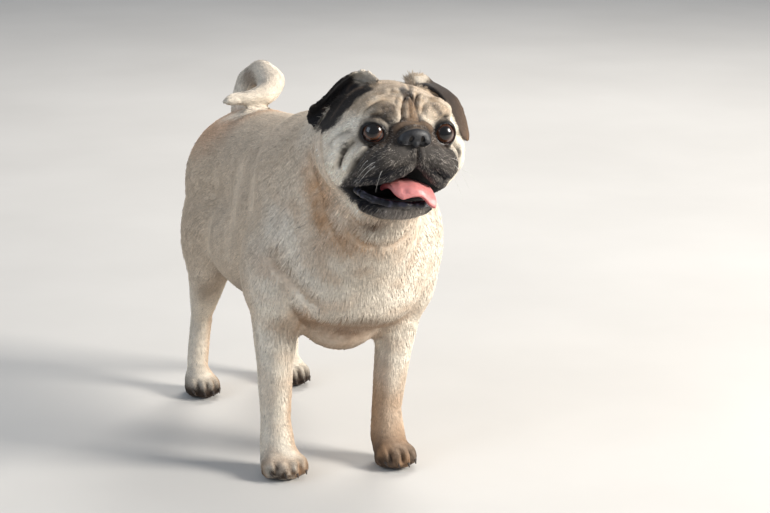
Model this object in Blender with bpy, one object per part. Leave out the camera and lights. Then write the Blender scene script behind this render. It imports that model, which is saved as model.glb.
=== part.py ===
"""A pug standing with its mouth open and its tail curled, life size.

The frame is in metres with +Z up. The dog faces -Y, its left side is +X, and the ground is z = 0.
The outline, out to the tips of the coat, is a union of rounded forms. Thin cuts part it into the
head, neck, trunk and legs. The tail, ears, eyes, nose leather, tongue and claws are made apart.
Everything is modelled round the point between the paws, then carried by one empty that sets the
middle of the bounding box over the origin.
"""

import math

import bmesh
import bpy
from mathutils import Euler, Matrix, Vector

# Driving sizes, metres
GAP = 0.0003
FLESH_GAP = 1.3 * GAP
SOCKET_GAP = 1.2 * GAP
VOXEL = 0.0030
FLESH_TRIANGLES = 3050
TAIL_TRIANGLES = 420
BALL_DETAIL = 4

# The head's own frame: origin between the cheeks, nose towards -y
HEAD_AT = Vector((0.0235, -0.205, 0.335))
HEAD_NOSE_UP = math.radians(4)
HEAD_TILT = math.radians(5)
HEAD = Matrix.LocRotScale(HEAD_AT, Euler((-HEAD_NOSE_UP, HEAD_TILT, 0)), None)
WORLD = Matrix.Identity(4)

EYE_RADIUS = 0.0118
EYE_AT = Vector((0.0320, -0.0468, 0.0074))
NOSE_AT = Vector((0.0, -0.0635, 0.0080))
NOSE_RADII = (0.0165, 0.0090, 0.0098)
EAR_THICKNESS = 0.0026
TONGUE_THICKNESS = 0.0050
CLAW_LENGTH = 0.0085
CLAW_RADIUS = 0.0021
TOOTH_HEIGHT = 0.008
TOOTH_RADIUS = 0.0021
BLUNT_RADIUS = 0.0005

# Where each paw stands: the middle of its sole, and half its width
FORE_PAWS = {"left": (0.0490, -0.147, 0.0210), "right": (-0.0610, -0.140, 0.0238)}
HIND_PAWS = {"left": (0.0440, 0.147, 0.0185), "right": (-0.0590, 0.138, 0.0190)}
SIDES = {"left": 1, "right": -1}

COAT = (0.62, 0.47, 0.34)
CREAM = (0.74, 0.62, 0.49)
MASK = (0.055, 0.048, 0.045)
BLACK = (0.016, 0.016, 0.018)
PINK = (0.72, 0.30, 0.29)
HORN = (0.035, 0.028, 0.024)


def clear_scene():
    for obj in list(bpy.data.objects):
        bpy.data.objects.remove(obj, do_unlink=True)


def material(name, colour, roughness=0.6):
    made = bpy.data.materials.new(name)
    made.use_nodes = True
    shader = made.node_tree.nodes["Principled BSDF"]
    shader.inputs["Base Color"].default_value = (*colour, 1)
    shader.inputs["Roughness"].default_value = roughness
    made.diffuse_color = (*colour, 1)
    return made


def add_object(name, mesh, look=None):
    obj = bpy.data.objects.new(name, mesh)
    bpy.context.scene.collection.objects.link(obj)
    if look:
        mesh.materials.clear()
        mesh.materials.append(look)
    return obj


def mesh_from(bm, name="shape"):
    mesh = bpy.data.meshes.new(name)
    bm.to_mesh(mesh)
    bm.free()
    return mesh


def evaluated(obj):
    """The object's mesh with its modifiers applied, and the object removed."""
    graph = bpy.context.evaluated_depsgraph_get()
    mesh = bpy.data.meshes.new_from_object(obj.evaluated_get(graph))
    bpy.data.objects.remove(obj, do_unlink=True)
    return mesh


# Rounded forms


def ball(centre, radii, pitch=0.0, roll=0.0, yaw=0.0, frame=WORLD, detail=BALL_DETAIL):
    """An ellipsoid as (points, faces); the angles are in degrees."""
    turn = Euler((math.radians(pitch), math.radians(roll), math.radians(yaw)))
    place = frame @ Matrix.LocRotScale(Vector(centre), turn, Vector(radii))
    bm = bmesh.new()
    bmesh.ops.create_icosphere(bm, subdivisions=detail, radius=1, matrix=place)
    return bm


def limb(start, end, start_radius, end_radius, frame=WORLD):
    """A tapered length with round ends: the hull of two spheres."""
    bm = bmesh.new()
    for at, radius in ((start, start_radius), (end, end_radius)):
        place = frame @ Matrix.Translation(Vector(at))
        bmesh.ops.create_icosphere(bm, subdivisions=3, radius=radius, matrix=place)
    hull = bmesh.ops.convex_hull(bm, input=bm.verts)
    inner = [item for item in hull["geom_interior"] if isinstance(item, bmesh.types.BMVert)]
    bmesh.ops.delete(bm, geom=inner, context="VERTS")
    return bm


def joined(shapes):
    """One mesh that holds every shape, still overlapping."""
    whole = bmesh.new()
    for bm in shapes:
        part = mesh_from(bm)
        whole.from_mesh(part)
        bpy.data.meshes.remove(part)
    bmesh.ops.recalc_face_normals(whole, faces=whole.faces)
    return mesh_from(whole)


def melted(mesh, smooth_rounds, regain):
    """The union of the overlapping shapes as one skin, smoothed, then swollen by what that took away."""
    obj = add_object("union", mesh)
    remesh = obj.modifiers.new("union", "REMESH")
    remesh.mode = "VOXEL"
    remesh.voxel_size = VOXEL
    smooth = obj.modifiers.new("smooth", "SMOOTH")
    smooth.factor = 0.5
    smooth.iterations = smooth_rounds
    swell = obj.modifiers.new("regain", "DISPLACE")
    swell.strength = regain
    swell.mid_level = 0
    return evaluated(obj)


def thinned(mesh, triangles):
    """The same skin with about this many triangles."""
    obj = add_object("thin", mesh)
    thin = obj.modifiers.new("thin", "DECIMATE")
    thin.ratio = triangles / (2 * len(mesh.polygons))
    thin.use_collapse_triangulate = True
    return evaluated(obj)


def trunk_forms():
    ribs = ball((0.009, -0.030, 0.216), (0.076, 0.111, 0.090), pitch=3)
    withers = ball((0.007, -0.058, 0.264), (0.059, 0.074, 0.069))
    shoulders = ball((0.021, -0.102, 0.212), (0.095, 0.068, 0.094))
    breast = ball((0.017, -0.136, 0.192), (0.070, 0.046, 0.062))
    brisket = ball((0.009, -0.108, 0.150), (0.044, 0.050, 0.041))
    back = limb((0.006, -0.024, 0.257), (0.003, 0.110, 0.243), 0.062, 0.061)
    belly = ball((0.002, 0.030, 0.186), (0.076, 0.118, 0.063), pitch=-2)
    rump = ball((0.000, 0.122, 0.230), (0.075, 0.060, 0.074))
    return [ribs, withers, shoulders, breast, brisket, back, belly, rump]


def neck_forms():
    nape = HEAD @ Vector((0, 0.022, -0.014))
    throat = HEAD @ Vector((-0.002, 0.014, -0.048))
    return [
        limb((0.009, -0.070, 0.257), nape, 0.073, 0.058),
        limb((0.014, -0.126, 0.214), throat, 0.063, 0.041),
    ]


def skull_forms():
    forms = [
        ball((0, 0.006, 0.004), (0.056, 0.057, 0.045), frame=HEAD),
        ball((0, -0.022, 0.006), (0.052, 0.034, 0.041), frame=HEAD),
    ]
    for side in SIDES.values():
        forms.append(ball((side * 0.0365, 0, -0.014), (0.031, 0.043, 0.040), frame=HEAD))
    return forms


def leg_forms(side, name):
    """The long forms of one fore and one hind leg."""
    fore_x, fore_y, _ = FORE_PAWS[name]
    hind_x, hind_y, _ = HIND_PAWS[name]
    shoulder = (0.0130 + side * 0.0650, -0.098, 0.188)
    elbow = (0.0095 + side * 0.0630, -0.104, 0.154)
    forearm = (0.001 + side * 0.0600, -0.117, 0.105)
    wrist = (fore_x + 0.001, fore_y + 0.020, 0.048)
    hip = (side * 0.0535, 0.114, 0.178)
    stifle = (side * 0.0550, 0.112, 0.142)
    hock = (side * 0.0495, 0.161, 0.082)
    heel = (side * 0.0490, 0.166, 0.072)
    foot = (hind_x + 0.001, hind_y + 0.014, 0.030)
    return [
        ball(shoulder, (0.034, 0.047, 0.060), pitch=-12),
        limb(elbow, forearm, 0.0265, 0.0190),
        limb(forearm, wrist, 0.0190, 0.0155),
        limb(wrist, (fore_x, fore_y + 0.012, 0.024), 0.0158, 0.0178),
        ball(hip, (0.0290, 0.050, 0.062), pitch=14),
        limb(stifle, hock, 0.0235, 0.0130),
        limb(heel, foot, 0.0128, 0.0125),
    ]


def face_forms():
    """The muzzle with its flews, the brow pads, and the lower jaw with its chin."""
    forms = [
        ball((0, -0.044, -0.010), (0.036, 0.022, 0.024), frame=HEAD),
        ball((-0.001, -0.030, -0.0600), (0.038, 0.029, 0.0150), pitch=-6, frame=HEAD),
        ball((-0.001, -0.046, -0.0640), (0.021, 0.012, 0.0090), frame=HEAD),
    ]
    for side in SIDES.values():
        forms.append(ball((side * 0.0240, -0.045, -0.020), (0.025, 0.021, 0.0225), frame=HEAD))
        forms.append(ball((side * 0.0250, -0.0385, 0.026), (0.020, 0.0110, 0.0140), frame=HEAD))
    return forms


TOE_SPREAD = (-1.5, -0.5, 0.5, 1.5)


def toe_middle(paw, spread):
    """The middle of one toe; the two middle toes stand further forward."""
    x, y, half = paw
    forward = 0.0185 if abs(spread) < 1 else 0.0110
    return Vector((x + spread * half * 0.5, y - forward, 0.0100))


def paw_forms(paw):
    x, y, half = paw
    forms = [ball((x, y + 0.004, 0.0140), (half * 0.86, 0.021, 0.0165))]
    for spread in TOE_SPREAD:
        middle = toe_middle(paw, spread)
        forms.append(ball(middle, (half * 0.27, 0.0130, 0.0115), pitch=-12, yaw=-6 * spread))
    return forms


def flesh():
    """The whole dog but for its tail, ears, eyes, nose leather, tongue and claws."""
    limbs = []
    small = face_forms()
    for name, side in SIDES.items():
        limbs += leg_forms(side, name)
        small += paw_forms(FORE_PAWS[name]) + paw_forms(HIND_PAWS[name])
    torso = bmesh.new()
    torso.from_mesh(melted(joined(trunk_forms() + neck_forms() + skull_forms()), 45, 0.0018))
    body = bmesh.new()
    body.from_mesh(melted(joined([torso] + limbs), 10, 0.0008))
    return thinned(melted(joined([body] + small), 2, 0.0002), FLESH_TRIANGLES)


# Cutting


def box_cutter(size, place):
    bm = bmesh.new()
    bmesh.ops.create_cube(bm, size=1, matrix=place @ Matrix.Diagonal((*size, 1)))
    return mesh_from(bm, "cutter")


def hull_cutter(points, frame=WORLD):
    bm = bmesh.new()
    for point in points:
        bm.verts.new(frame @ Vector(point))
    bmesh.ops.convex_hull(bm, input=bm.verts)
    bmesh.ops.recalc_face_normals(bm, faces=bm.faces)
    return mesh_from(bm, "cutter")


def boolean(mesh, cutter, operation="DIFFERENCE"):
    obj = add_object("cut", mesh)
    tool = add_object("tool", cutter)
    step = obj.modifiers.new("cut", "BOOLEAN")
    step.operation = operation
    step.solver = "EXACT"
    step.object = tool
    result = evaluated(obj)
    bpy.data.objects.remove(tool, do_unlink=True)
    return result


def slab(point, normal, across, size, frame=WORLD):
    """A cut one gap thick through point. Its size runs along across and along the third direction."""
    z = Vector(normal).normalized()
    x = (Vector(across) - z * z.dot(Vector(across))).normalized()
    y = z.cross(x)
    turn = Matrix((x, y, z)).transposed().to_4x4()
    place = frame @ Matrix.Translation(Vector(point)) @ turn
    return box_cutter((size[0], size[1], GAP), place)


def grown(mesh, by):
    """A copy of the mesh with its skin moved outwards."""
    obj = add_object("grown", mesh.copy())
    swell = obj.modifiers.new("swell", "DISPLACE")
    swell.strength = by
    swell.mid_level = 0
    return evaluated(obj)


def pieces_of(mesh):
    """The closed bodies of a mesh, each as its own mesh, largest first."""
    bm = bmesh.new()
    bm.from_mesh(mesh)
    left = set(bm.verts)
    found = []
    while left:
        ring = [left.pop()]
        body = set(ring)
        while ring:
            vert = ring.pop()
            for edge in vert.link_edges:
                other = edge.other_vert(vert)
                if other in left:
                    left.remove(other)
                    body.add(other)
                    ring.append(other)
        found.append(body)
    meshes = []
    for body in found:
        part = bm.copy()
        keep = {vert.index for vert in body}
        part.verts.ensure_lookup_table()
        bmesh.ops.delete(part, geom=[v for v in part.verts if v.index not in keep], context="VERTS")
        meshes.append((part.calc_volume(), mesh_from(part, "piece")))
    bm.free()
    meshes.sort(key=lambda pair: -pair[0])
    return [mesh for _, mesh in meshes]


def middle_of(mesh):
    total = Vector()
    for vert in mesh.vertices:
        total += vert.co
    return total / len(mesh.vertices)


# The mouth, in the head's frame: a wedge open to the front and sides

MOUTH_FRONT = -0.090
MOUTH_BACK = -0.014
MOUTH_CORNER_X = 0.062
MOUTH_CORNER_Y = -0.022
MOUTH_CORNER_Z = -0.0505
ROOF_X = 0.007
ROOF_FRONT_Z = -0.0120
ROOF_BACK_Z = -0.0360
LOWER_LIP_Z = -0.0560


def mouth_points():
    points = [(ROOF_X, MOUTH_FRONT, ROOF_FRONT_Z), (ROOF_X, MOUTH_BACK, ROOF_BACK_Z)]
    for side in SIDES.values():
        points.append((side * 0.038, MOUTH_FRONT, -0.0400))
        points.append((side * 0.030, MOUTH_FRONT, LOWER_LIP_Z))
        points.append((side * 0.030, MOUTH_BACK, LOWER_LIP_Z + 0.0015))
        for y in (MOUTH_FRONT, MOUTH_CORNER_Y):
            points.append((side * MOUTH_CORNER_X, y, MOUTH_CORNER_Z))
            points.append((side * MOUTH_CORNER_X, y, MOUTH_CORNER_Z - 0.001))
    return points


# The cuts that part the flesh. SHOULDER_Y and LOIN_Y cross the trunk, and the limbs' upper cuts end there.

SHOULDER_Y = -0.040
LOIN_Y = 0.072
ELBOW_Z = 0.110
WRIST_Z = 0.042
KNEE_Z = 0.118
HOCK_Z = 0.062
HIND_FOOT_Z = 0.033
LIMB_CUT = 0.186
LIMB_CUT_START = 0.009


def upper_limb_cut(pit, slope, y_start, y_end, side):
    """A cut that rises outwards from the armpit or groin, at slope degrees, between two y values."""
    rise = Vector((side * math.cos(math.radians(slope)), 0, math.sin(math.radians(slope))))
    normal = rise.cross(Vector((0, 1, 0)))
    point = Vector((pit[0], (y_start + y_end) / 2, pit[1])) + rise * (LIMB_CUT / 2 - LIMB_CUT_START)
    return slab(point, normal, (0, 1, 0), (abs(y_end - y_start), LIMB_CUT))


def flesh_cuts():
    across = (1, 0, 0)
    cuts = [
        slab((0, -0.0235, -0.0572), (0, 1, 0), across, (0.130, 0.0155), HEAD),
        slab((0, -0.0412, -0.0786), (0, -0.68, 0.73), across, (0.130, 0.0515), HEAD),
        slab((0, 0.027, -0.021), (0.05, -0.854, 0.519), across, (0.24, 0.26), HEAD),
        slab((0.010, -0.1235, 0.270), (0, -0.726, 0.687), across, (0.26, 0.26)),
        slab((0, SHOULDER_Y, 0.22), (0, 1, 0), across, (0.26, 0.26)),
        slab((0, LOIN_Y, 0.22), (0, 1, 0), across, (0.26, 0.26)),
    ]
    for name, side in SIDES.items():
        fore, hind = FORE_PAWS[name], HIND_PAWS[name]
        armpit = (0.004 + side * 0.0330, 0.112)
        groin = (side * 0.0240, 0.128)
        cuts += [
            upper_limb_cut(armpit, 60, -0.210, SHOULDER_Y, side),
            upper_limb_cut(groin, 62, LOIN_Y, 0.220, side),
            slab((0.002 + side * 0.060, -0.116, ELBOW_Z), (0, 0, 1), across, (0.068, 0.080)),
            slab((fore[0], fore[1] + 0.022, WRIST_Z), (0, 0, 1), across, (0.060, 0.070)),
            slab((side * 0.0540, 0.132, KNEE_Z), (0, 0, 1), across, (0.060, 0.090)),
            slab((side * 0.0490, 0.162, HOCK_Z), (0, 0, 1), across, (0.050, 0.060)),
            slab((hind[0], hind[1] + 0.012, HIND_FOOT_Z), (0, 0, 1), across, (0.050, 0.070)),
        ]
    return cuts


def flesh_labels():
    """A point near the middle of each piece of flesh, by its name."""
    labels = {
        "head": HEAD @ Vector((0, -0.010, 0.000)),
        "lower_jaw": HEAD @ Vector((0, -0.036, -0.064)),
        "neck": Vector((0.012, -0.135, 0.300)),
        "chest": Vector((0.010, -0.105, 0.225)),
        "barrel": Vector((0.004, 0.016, 0.215)),
        "rump": Vector((0.002, 0.120, 0.245)),
    }
    for name, side in SIDES.items():
        fore, hind = FORE_PAWS[name], HIND_PAWS[name]
        labels["foreleg_upper_" + name] = Vector((0.006 + side * 0.078, -0.100, 0.155))
        labels["forearm_" + name] = Vector((side * 0.058, -0.120, 0.075))
        labels["forepaw_" + name] = Vector((fore[0], fore[1], 0.018))
        labels["thigh_" + name] = Vector((side * 0.060, 0.120, 0.160))
        labels["hindleg_lower_" + name] = Vector((side * 0.052, 0.150, 0.090))
        labels["hock_" + name] = Vector((side * 0.048, 0.160, 0.047))
        labels["hindpaw_" + name] = Vector((hind[0], hind[1], 0.014))
    return labels


def part_flesh(whole):
    """The whole skin cut to its named pieces, standing flat on z = 0."""
    floor = box_cutter((1, 1, 0.1), Matrix.Translation((0, 0, -0.05)))
    mesh = boolean(boolean(whole, floor), hull_cutter(mouth_points(), HEAD))
    for cutter in flesh_cuts():
        mesh = boolean(mesh, cutter)
    labels = flesh_labels()
    named = {}
    for piece in pieces_of(mesh):
        middle = middle_of(piece)
        named[min(labels, key=lambda key: (labels[key] - middle).length)] = piece
    return named


# Surfaces built from rows of a few points each


def curve_point(points, t):
    """A point at t from 0 to 1 on a smooth curve through the points."""
    last = len(points) - 1
    index = min(int(t * last), last - 1)
    local = t * last - index
    before = points[max(index - 1, 0)]
    start, end = points[index], points[index + 1]
    after = points[min(index + 2, last)]
    tangent_start = (end - before) / 2
    tangent_end = (after - start) / 2
    square, cube = local * local, local * local * local
    return (
        start * (2 * cube - 3 * square + 1)
        + tangent_start * (cube - 2 * square + local)
        + end * (3 * square - 2 * cube)
        + tangent_end * (cube - square)
    )


def flap(rows, long_steps, cross_steps, thickness, frame=HEAD):
    """A curved sheet through the rows, thickened evenly to a closed body."""
    bm = bmesh.new()
    columns = [[Vector(row[i]) for row in rows] for i in range(len(rows[0]))]
    grid = []
    for i in range(long_steps + 1):
        row = [curve_point(column, i / long_steps) for column in columns]
        line = []
        for j in range(cross_steps + 1):
            line.append(bm.verts.new(frame @ curve_point(row, j / cross_steps)))
        grid.append(line)
    for i in range(long_steps):
        for j in range(cross_steps):
            bm.faces.new((grid[i][j], grid[i][j + 1], grid[i + 1][j + 1], grid[i + 1][j]))
    obj = add_object("flap", mesh_from(bm))
    thicken = obj.modifiers.new("thicken", "SOLIDIFY")
    thicken.thickness = thickness
    thicken.offset = 0
    thicken.use_even_offset = True
    mesh = evaluated(obj)
    bm = bmesh.new()
    bm.from_mesh(mesh)
    bmesh.ops.triangulate(bm, faces=bm.faces)
    bmesh.ops.recalc_face_normals(bm, faces=bm.faces)
    return mesh_from(bm)


def right_ear_rows():
    """The right ear is folded back along the skull: rim, back of the ear, inner edge."""
    return [
        ((-0.015, -0.009, 0.0500), (-0.020, 0.004, 0.0460), (-0.018, -0.013, 0.0440)),
        ((-0.0270, -0.003, 0.0595), (-0.037, 0.011, 0.0480), (-0.031, -0.015, 0.0400)),
        ((-0.0470, 0.003, 0.0500), (-0.050, 0.019, 0.0320), (-0.0400, -0.012, 0.0280)),
        ((-0.0600, 0.010, 0.0330), (-0.0600, 0.024, 0.0150), (-0.0470, -0.006, 0.0130)),
        ((-0.0725, 0.018, 0.0215), (-0.0715, 0.026, 0.0090), (-0.0640, 0.014, 0.0010)),
    ]


def left_ear_rows():
    """The left ear rises from the skull and folds forwards and down to its tip."""
    return [
        ((0.020, -0.013, 0.0455), (0.028, 0.006, 0.0500), (0.038, 0.024, 0.0420)),
        ((0.031, -0.020, 0.0450), (0.044, 0.002, 0.0475), (0.055, 0.022, 0.0385)),
        ((0.041, -0.028, 0.0350), (0.0590, -0.012, 0.0365), (0.0670, 0.008, 0.0285)),
        ((0.049, -0.030, 0.0190), (0.0655, -0.018, 0.0190), (0.0715, -0.003, 0.0150)),
        ((0.058, -0.028, 0.0040), (0.0690, -0.020, 0.0040), (0.0725, -0.011, 0.0050)),
        ((0.0675, -0.0215, -0.0020), (0.0700, -0.0190, -0.0020), (0.0720, -0.0160, -0.0010)),
    ]


def tongue_rows():
    """The tongue lies over the lower lip and hangs further on the dog's left."""
    return [
        ((-0.016, -0.0185, -0.0470), (0.000, -0.0185, -0.0440), (0.016, -0.0185, -0.0470)),
        ((-0.020, -0.0340, -0.0430), (0.001, -0.0340, -0.0370), (0.021, -0.0340, -0.0430)),
        ((-0.022, -0.0500, -0.0410), (0.002, -0.0510, -0.0370), (0.023, -0.0500, -0.0420)),
        ((-0.018, -0.0605, -0.0465), (0.004, -0.0635, -0.0410), (0.0245, -0.0610, -0.0470)),
        ((-0.008, -0.0635, -0.0510), (0.006, -0.0665, -0.0475), (0.0235, -0.0645, -0.0545)),
    ]


# The tail: it rises from the croup, arches over to the left, and ends in a blunt tip to the right
TAIL = [
    ((0.000, 0.154, 0.276), 0.0185),
    ((0.002, 0.168, 0.304), 0.0150),
    ((0.006, 0.166, 0.325), 0.0138),
    ((0.0165, 0.152, 0.3370), 0.0142),
    ((0.0230, 0.136, 0.3280), 0.0160),
    ((0.0140, 0.122, 0.3190), 0.0132),
    ((-0.008, 0.114, 0.3165), 0.0098),
    ((-0.0245, 0.112, 0.3165), 0.0094),
    ((-0.0365, 0.114, 0.3140), 0.0062),
]
TAIL_CUTS = (2, 4, 6)


def tail_pieces():
    forms = []
    for (start, start_radius), (end, end_radius) in zip(TAIL, TAIL[1:]):
        forms.append(limb(start, end, start_radius, end_radius))
    mesh = thinned(melted(joined(forms), 6, 0.0005), TAIL_TRIANGLES)
    stations = [Vector(at) for at, _ in TAIL]
    for index in TAIL_CUTS:
        along = stations[index + 1] - stations[index - 1]
        mesh = boolean(mesh, slab(stations[index], along, (1, 0.1, 0), (0.050, 0.050)))
    pieces = pieces_of(mesh)
    starts = (0,) + TAIL_CUTS
    ends = TAIL_CUTS + (len(TAIL) - 1,)
    middles = [(stations[a] + stations[b]) / 2 for a, b in zip(starts, ends)]
    names = ("tail_root", "tail_arch", "tail_fall", "tail_tip")
    named = {}
    for piece in pieces:
        middle = middle_of(piece)
        nearest = min(range(len(middles)), key=lambda k: (middles[k] - middle).length)
        named[names[nearest]] = piece
    return named


# Small pieces


def globe(centre, radii, frame=HEAD):
    """An ellipsoid of few faces, its pole towards the front."""
    turn = Euler((math.radians(90), 0, 0))
    place = frame @ Matrix.Translation(centre) @ Matrix.Diagonal((*radii, 1)) @ turn.to_matrix().to_4x4()
    bm = bmesh.new()
    bmesh.ops.create_uvsphere(bm, u_segments=14, v_segments=8, radius=1, matrix=place)
    bmesh.ops.triangulate(bm, faces=bm.faces)
    return mesh_from(bm)


def eye_mesh(side, radius):
    at = Vector((side * EYE_AT.x, EYE_AT.y, EYE_AT.z))
    return globe(at, (radius, radius, radius))


def nose_mesh(extra):
    return globe(NOSE_AT, [size + extra for size in NOSE_RADII])


def cone(bm, radius, length, place):
    """A blunt cone of eight sides along z."""
    bmesh.ops.create_cone(
        bm,
        cap_ends=True,
        cap_tris=True,
        segments=8,
        radius1=radius,
        radius2=BLUNT_RADIUS,
        depth=length,
        matrix=place,
    )


def claw_mesh(paw, spread):
    """A cone that leaves the toe forwards and down."""
    direction = Vector((-0.12 * spread, -0.80, -0.55)).normalized()
    base = toe_middle(paw, spread) + Vector((0, -0.0085, 0.0010))
    bm = bmesh.new()
    turn = direction.to_track_quat("Z", "Y").to_matrix().to_4x4()
    place = Matrix.Translation(base + direction * CLAW_LENGTH / 2) @ turn
    cone(bm, CLAW_RADIUS, CLAW_LENGTH, place)
    return mesh_from(bm)


def tooth_mesh(side):
    at = HEAD @ Matrix.Translation((side * 0.0265, -0.0435, LOWER_LIP_Z + TOOTH_HEIGHT / 4))
    bm = bmesh.new()
    cone(bm, TOOTH_RADIUS, TOOTH_HEIGHT, at)
    return mesh_from(bm)


def largest(mesh):
    return pieces_of(mesh)[0]


def carry_all():
    """Parents every piece to one empty, placed so that the bounding box stands centred on the origin."""
    pieces = list(bpy.data.objects)
    corners = [vert.co for obj in pieces for vert in obj.data.vertices]
    low = [min(corner[axis] for corner in corners) for axis in (0, 1)]
    high = [max(corner[axis] for corner in corners) for axis in (0, 1)]
    dog = bpy.data.objects.new("pug", None)
    bpy.context.scene.collection.objects.link(dog)
    dog.location = (-(low[0] + high[0]) / 2, -(low[1] + high[1]) / 2, 0)
    for obj in pieces:
        obj.parent = dog


def main():
    clear_scene()
    looks = {
        "coat": material("coat", COAT, 0.8),
        "cream": material("cream_coat", CREAM, 0.8),
        "mask": material("black_mask", MASK, 0.7),
        "nose": material("nose_leather", BLACK, 0.35),
        "eye": material("eye", (0.030, 0.016, 0.010), 0.08),
        "tongue": material("tongue", PINK, 0.35),
        "horn": material("claw_horn", HORN, 0.4),
    }
    whole = flesh()
    swollen = grown(whole, FLESH_GAP)
    pieces = part_flesh(whole)
    for side in SIDES.values():
        pieces["head"] = boolean(pieces["head"], eye_mesh(side, EYE_RADIUS + SOCKET_GAP))
        pieces["lower_jaw"] = boolean(pieces["lower_jaw"], tooth_mesh(side), "UNION")
    pieces["head"] = largest(boolean(pieces["head"], nose_mesh(SOCKET_GAP)))
    for name, mesh in pieces.items():
        look = "mask" if name == "lower_jaw" else "cream" if "paw" in name else "coat"
        add_object(name, mesh, looks[look])
    for name, mesh in tail_pieces().items():
        add_object(name, largest(boolean(mesh, swollen.copy())), looks["coat"])
    for name, side in SIDES.items():
        add_object("eye_" + name, eye_mesh(side, EYE_RADIUS), looks["eye"])
    add_object("nose", nose_mesh(0), looks["nose"])
    for name, rows in (("right", right_ear_rows()), ("left", left_ear_rows())):
        ear = flap(rows, 10, 5, EAR_THICKNESS)
        add_object("ear_" + name, largest(boolean(ear, swollen.copy())), looks["mask"])
    tongue = flap(tongue_rows(), 10, 6, TONGUE_THICKNESS)
    for neighbour in ("head", "lower_jaw"):
        tongue = boolean(tongue, grown(bpy.data.objects[neighbour].data, FLESH_GAP))
    add_object("tongue", largest(tongue), looks["tongue"])
    for name in SIDES:
        for leg, paw in (("fore", FORE_PAWS[name]), ("hind", HIND_PAWS[name])):
            for number, spread in enumerate(TOE_SPREAD, 1):
                claw = largest(boolean(claw_mesh(paw, spread), swollen.copy()))
                add_object(f"claw_{leg}_{name}_{number}", claw, looks["horn"])
    carry_all()


main()
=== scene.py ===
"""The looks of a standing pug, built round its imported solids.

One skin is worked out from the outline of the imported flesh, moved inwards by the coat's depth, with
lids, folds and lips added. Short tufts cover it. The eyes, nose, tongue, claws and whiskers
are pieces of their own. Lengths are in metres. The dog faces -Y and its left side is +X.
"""

import math

import bmesh
import bpy
import numpy as np
import openvdb as vdb
from mathutils import Euler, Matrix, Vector
from mathutils.bvhtree import BVHTree


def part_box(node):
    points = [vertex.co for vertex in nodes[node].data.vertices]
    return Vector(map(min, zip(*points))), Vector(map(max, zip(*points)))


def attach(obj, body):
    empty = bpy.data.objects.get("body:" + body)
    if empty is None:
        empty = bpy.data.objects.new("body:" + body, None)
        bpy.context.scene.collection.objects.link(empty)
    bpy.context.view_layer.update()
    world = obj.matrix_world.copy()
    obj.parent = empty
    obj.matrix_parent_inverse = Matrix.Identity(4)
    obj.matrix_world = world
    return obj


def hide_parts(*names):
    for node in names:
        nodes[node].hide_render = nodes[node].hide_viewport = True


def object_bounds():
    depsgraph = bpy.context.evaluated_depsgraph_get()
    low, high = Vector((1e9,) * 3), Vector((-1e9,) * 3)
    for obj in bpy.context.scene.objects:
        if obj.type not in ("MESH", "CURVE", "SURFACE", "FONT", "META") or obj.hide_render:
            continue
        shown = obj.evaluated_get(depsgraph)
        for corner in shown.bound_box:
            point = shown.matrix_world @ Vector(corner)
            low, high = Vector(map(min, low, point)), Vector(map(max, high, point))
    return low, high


SIDES = {"left": 1, "right": -1}
BODY = "root"

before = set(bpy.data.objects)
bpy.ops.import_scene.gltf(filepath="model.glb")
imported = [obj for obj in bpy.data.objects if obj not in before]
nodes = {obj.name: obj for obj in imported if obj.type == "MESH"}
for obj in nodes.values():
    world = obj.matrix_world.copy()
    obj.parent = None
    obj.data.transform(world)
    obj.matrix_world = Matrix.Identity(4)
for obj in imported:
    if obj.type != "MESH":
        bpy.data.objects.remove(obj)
cad_low, cad_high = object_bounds()

# The head's own frame, as the solids have it: its angles, and its origin worked out from the eyes

NOSE_UP = math.radians(4)
TILT = math.radians(5)
HEAD_TURN = np.array(Euler((-NOSE_UP, TILT, 0)).to_matrix())
EYE_AT = np.array((0.0320, -0.0468, 0.0074))
EYE_RADIUS = 0.0118
NOSE_AT = np.array((0.0, -0.0635, 0.0080))
HEAD_FROM_PAWS = np.array((0.0235, -0.205, 0.335))


def middle(node):
    low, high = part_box(node)
    return np.array((low + high) / 2)


eyes_middle = (middle("eye_left") + middle("eye_right")) / 2
HEAD_AT = eyes_middle - HEAD_TURN @ (EYE_AT * (0, 1, 1))
PAWS_AT = HEAD_AT - HEAD_FROM_PAWS


def head_point(local):
    """Points of the head's frame in the row frame."""
    return np.asarray(local, float) @ HEAD_TURN.T + HEAD_AT


def in_head(points):
    return (points - HEAD_AT) @ HEAD_TURN


def from_paws(points):
    """Points measured from the middle between the paws, in the row frame."""
    return np.asarray(points, float) + PAWS_AT


# Numeric tools


def smooth_step(low, high, value):
    t = np.clip((value - low) / (high - low), 0, 1)
    return t * t * (3 - 2 * t)


def unit(vectors):
    return vectors / np.maximum(np.linalg.norm(vectors, axis=-1, keepdims=True), 1e-12)


def smooth_min(a, b, blend):
    h = np.maximum(blend - np.abs(a - b), 0) / blend
    return np.minimum(a, b) - h * h * blend / 4


def curve(points, step=0.0012):
    """Points about one step apart on a smooth curve through the given ones, and how far along each is, 0 to 1."""
    points = np.asarray(points, float)
    padded = np.vstack([2 * points[0] - points[1], points, 2 * points[-1] - points[-2]])
    found = []
    for i in range(len(points) - 1):
        before, start, end, after = padded[i : i + 4]
        count = max(int(np.linalg.norm(end - start) / step), 1)
        t = (np.arange(count) / count)[:, None]
        found.append(
            0.5
            * (
                2 * start
                + (end - before) * t
                + (2 * before - 5 * start + 4 * end - after) * t**2
                + (3 * start - before - 3 * end + after) * t**3
            )
        )
    line = np.vstack(found + [points[-1:]])
    along = np.concatenate([[0], np.cumsum(np.linalg.norm(np.diff(line, axis=0), axis=1))])
    return line, along / along[-1]


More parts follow.
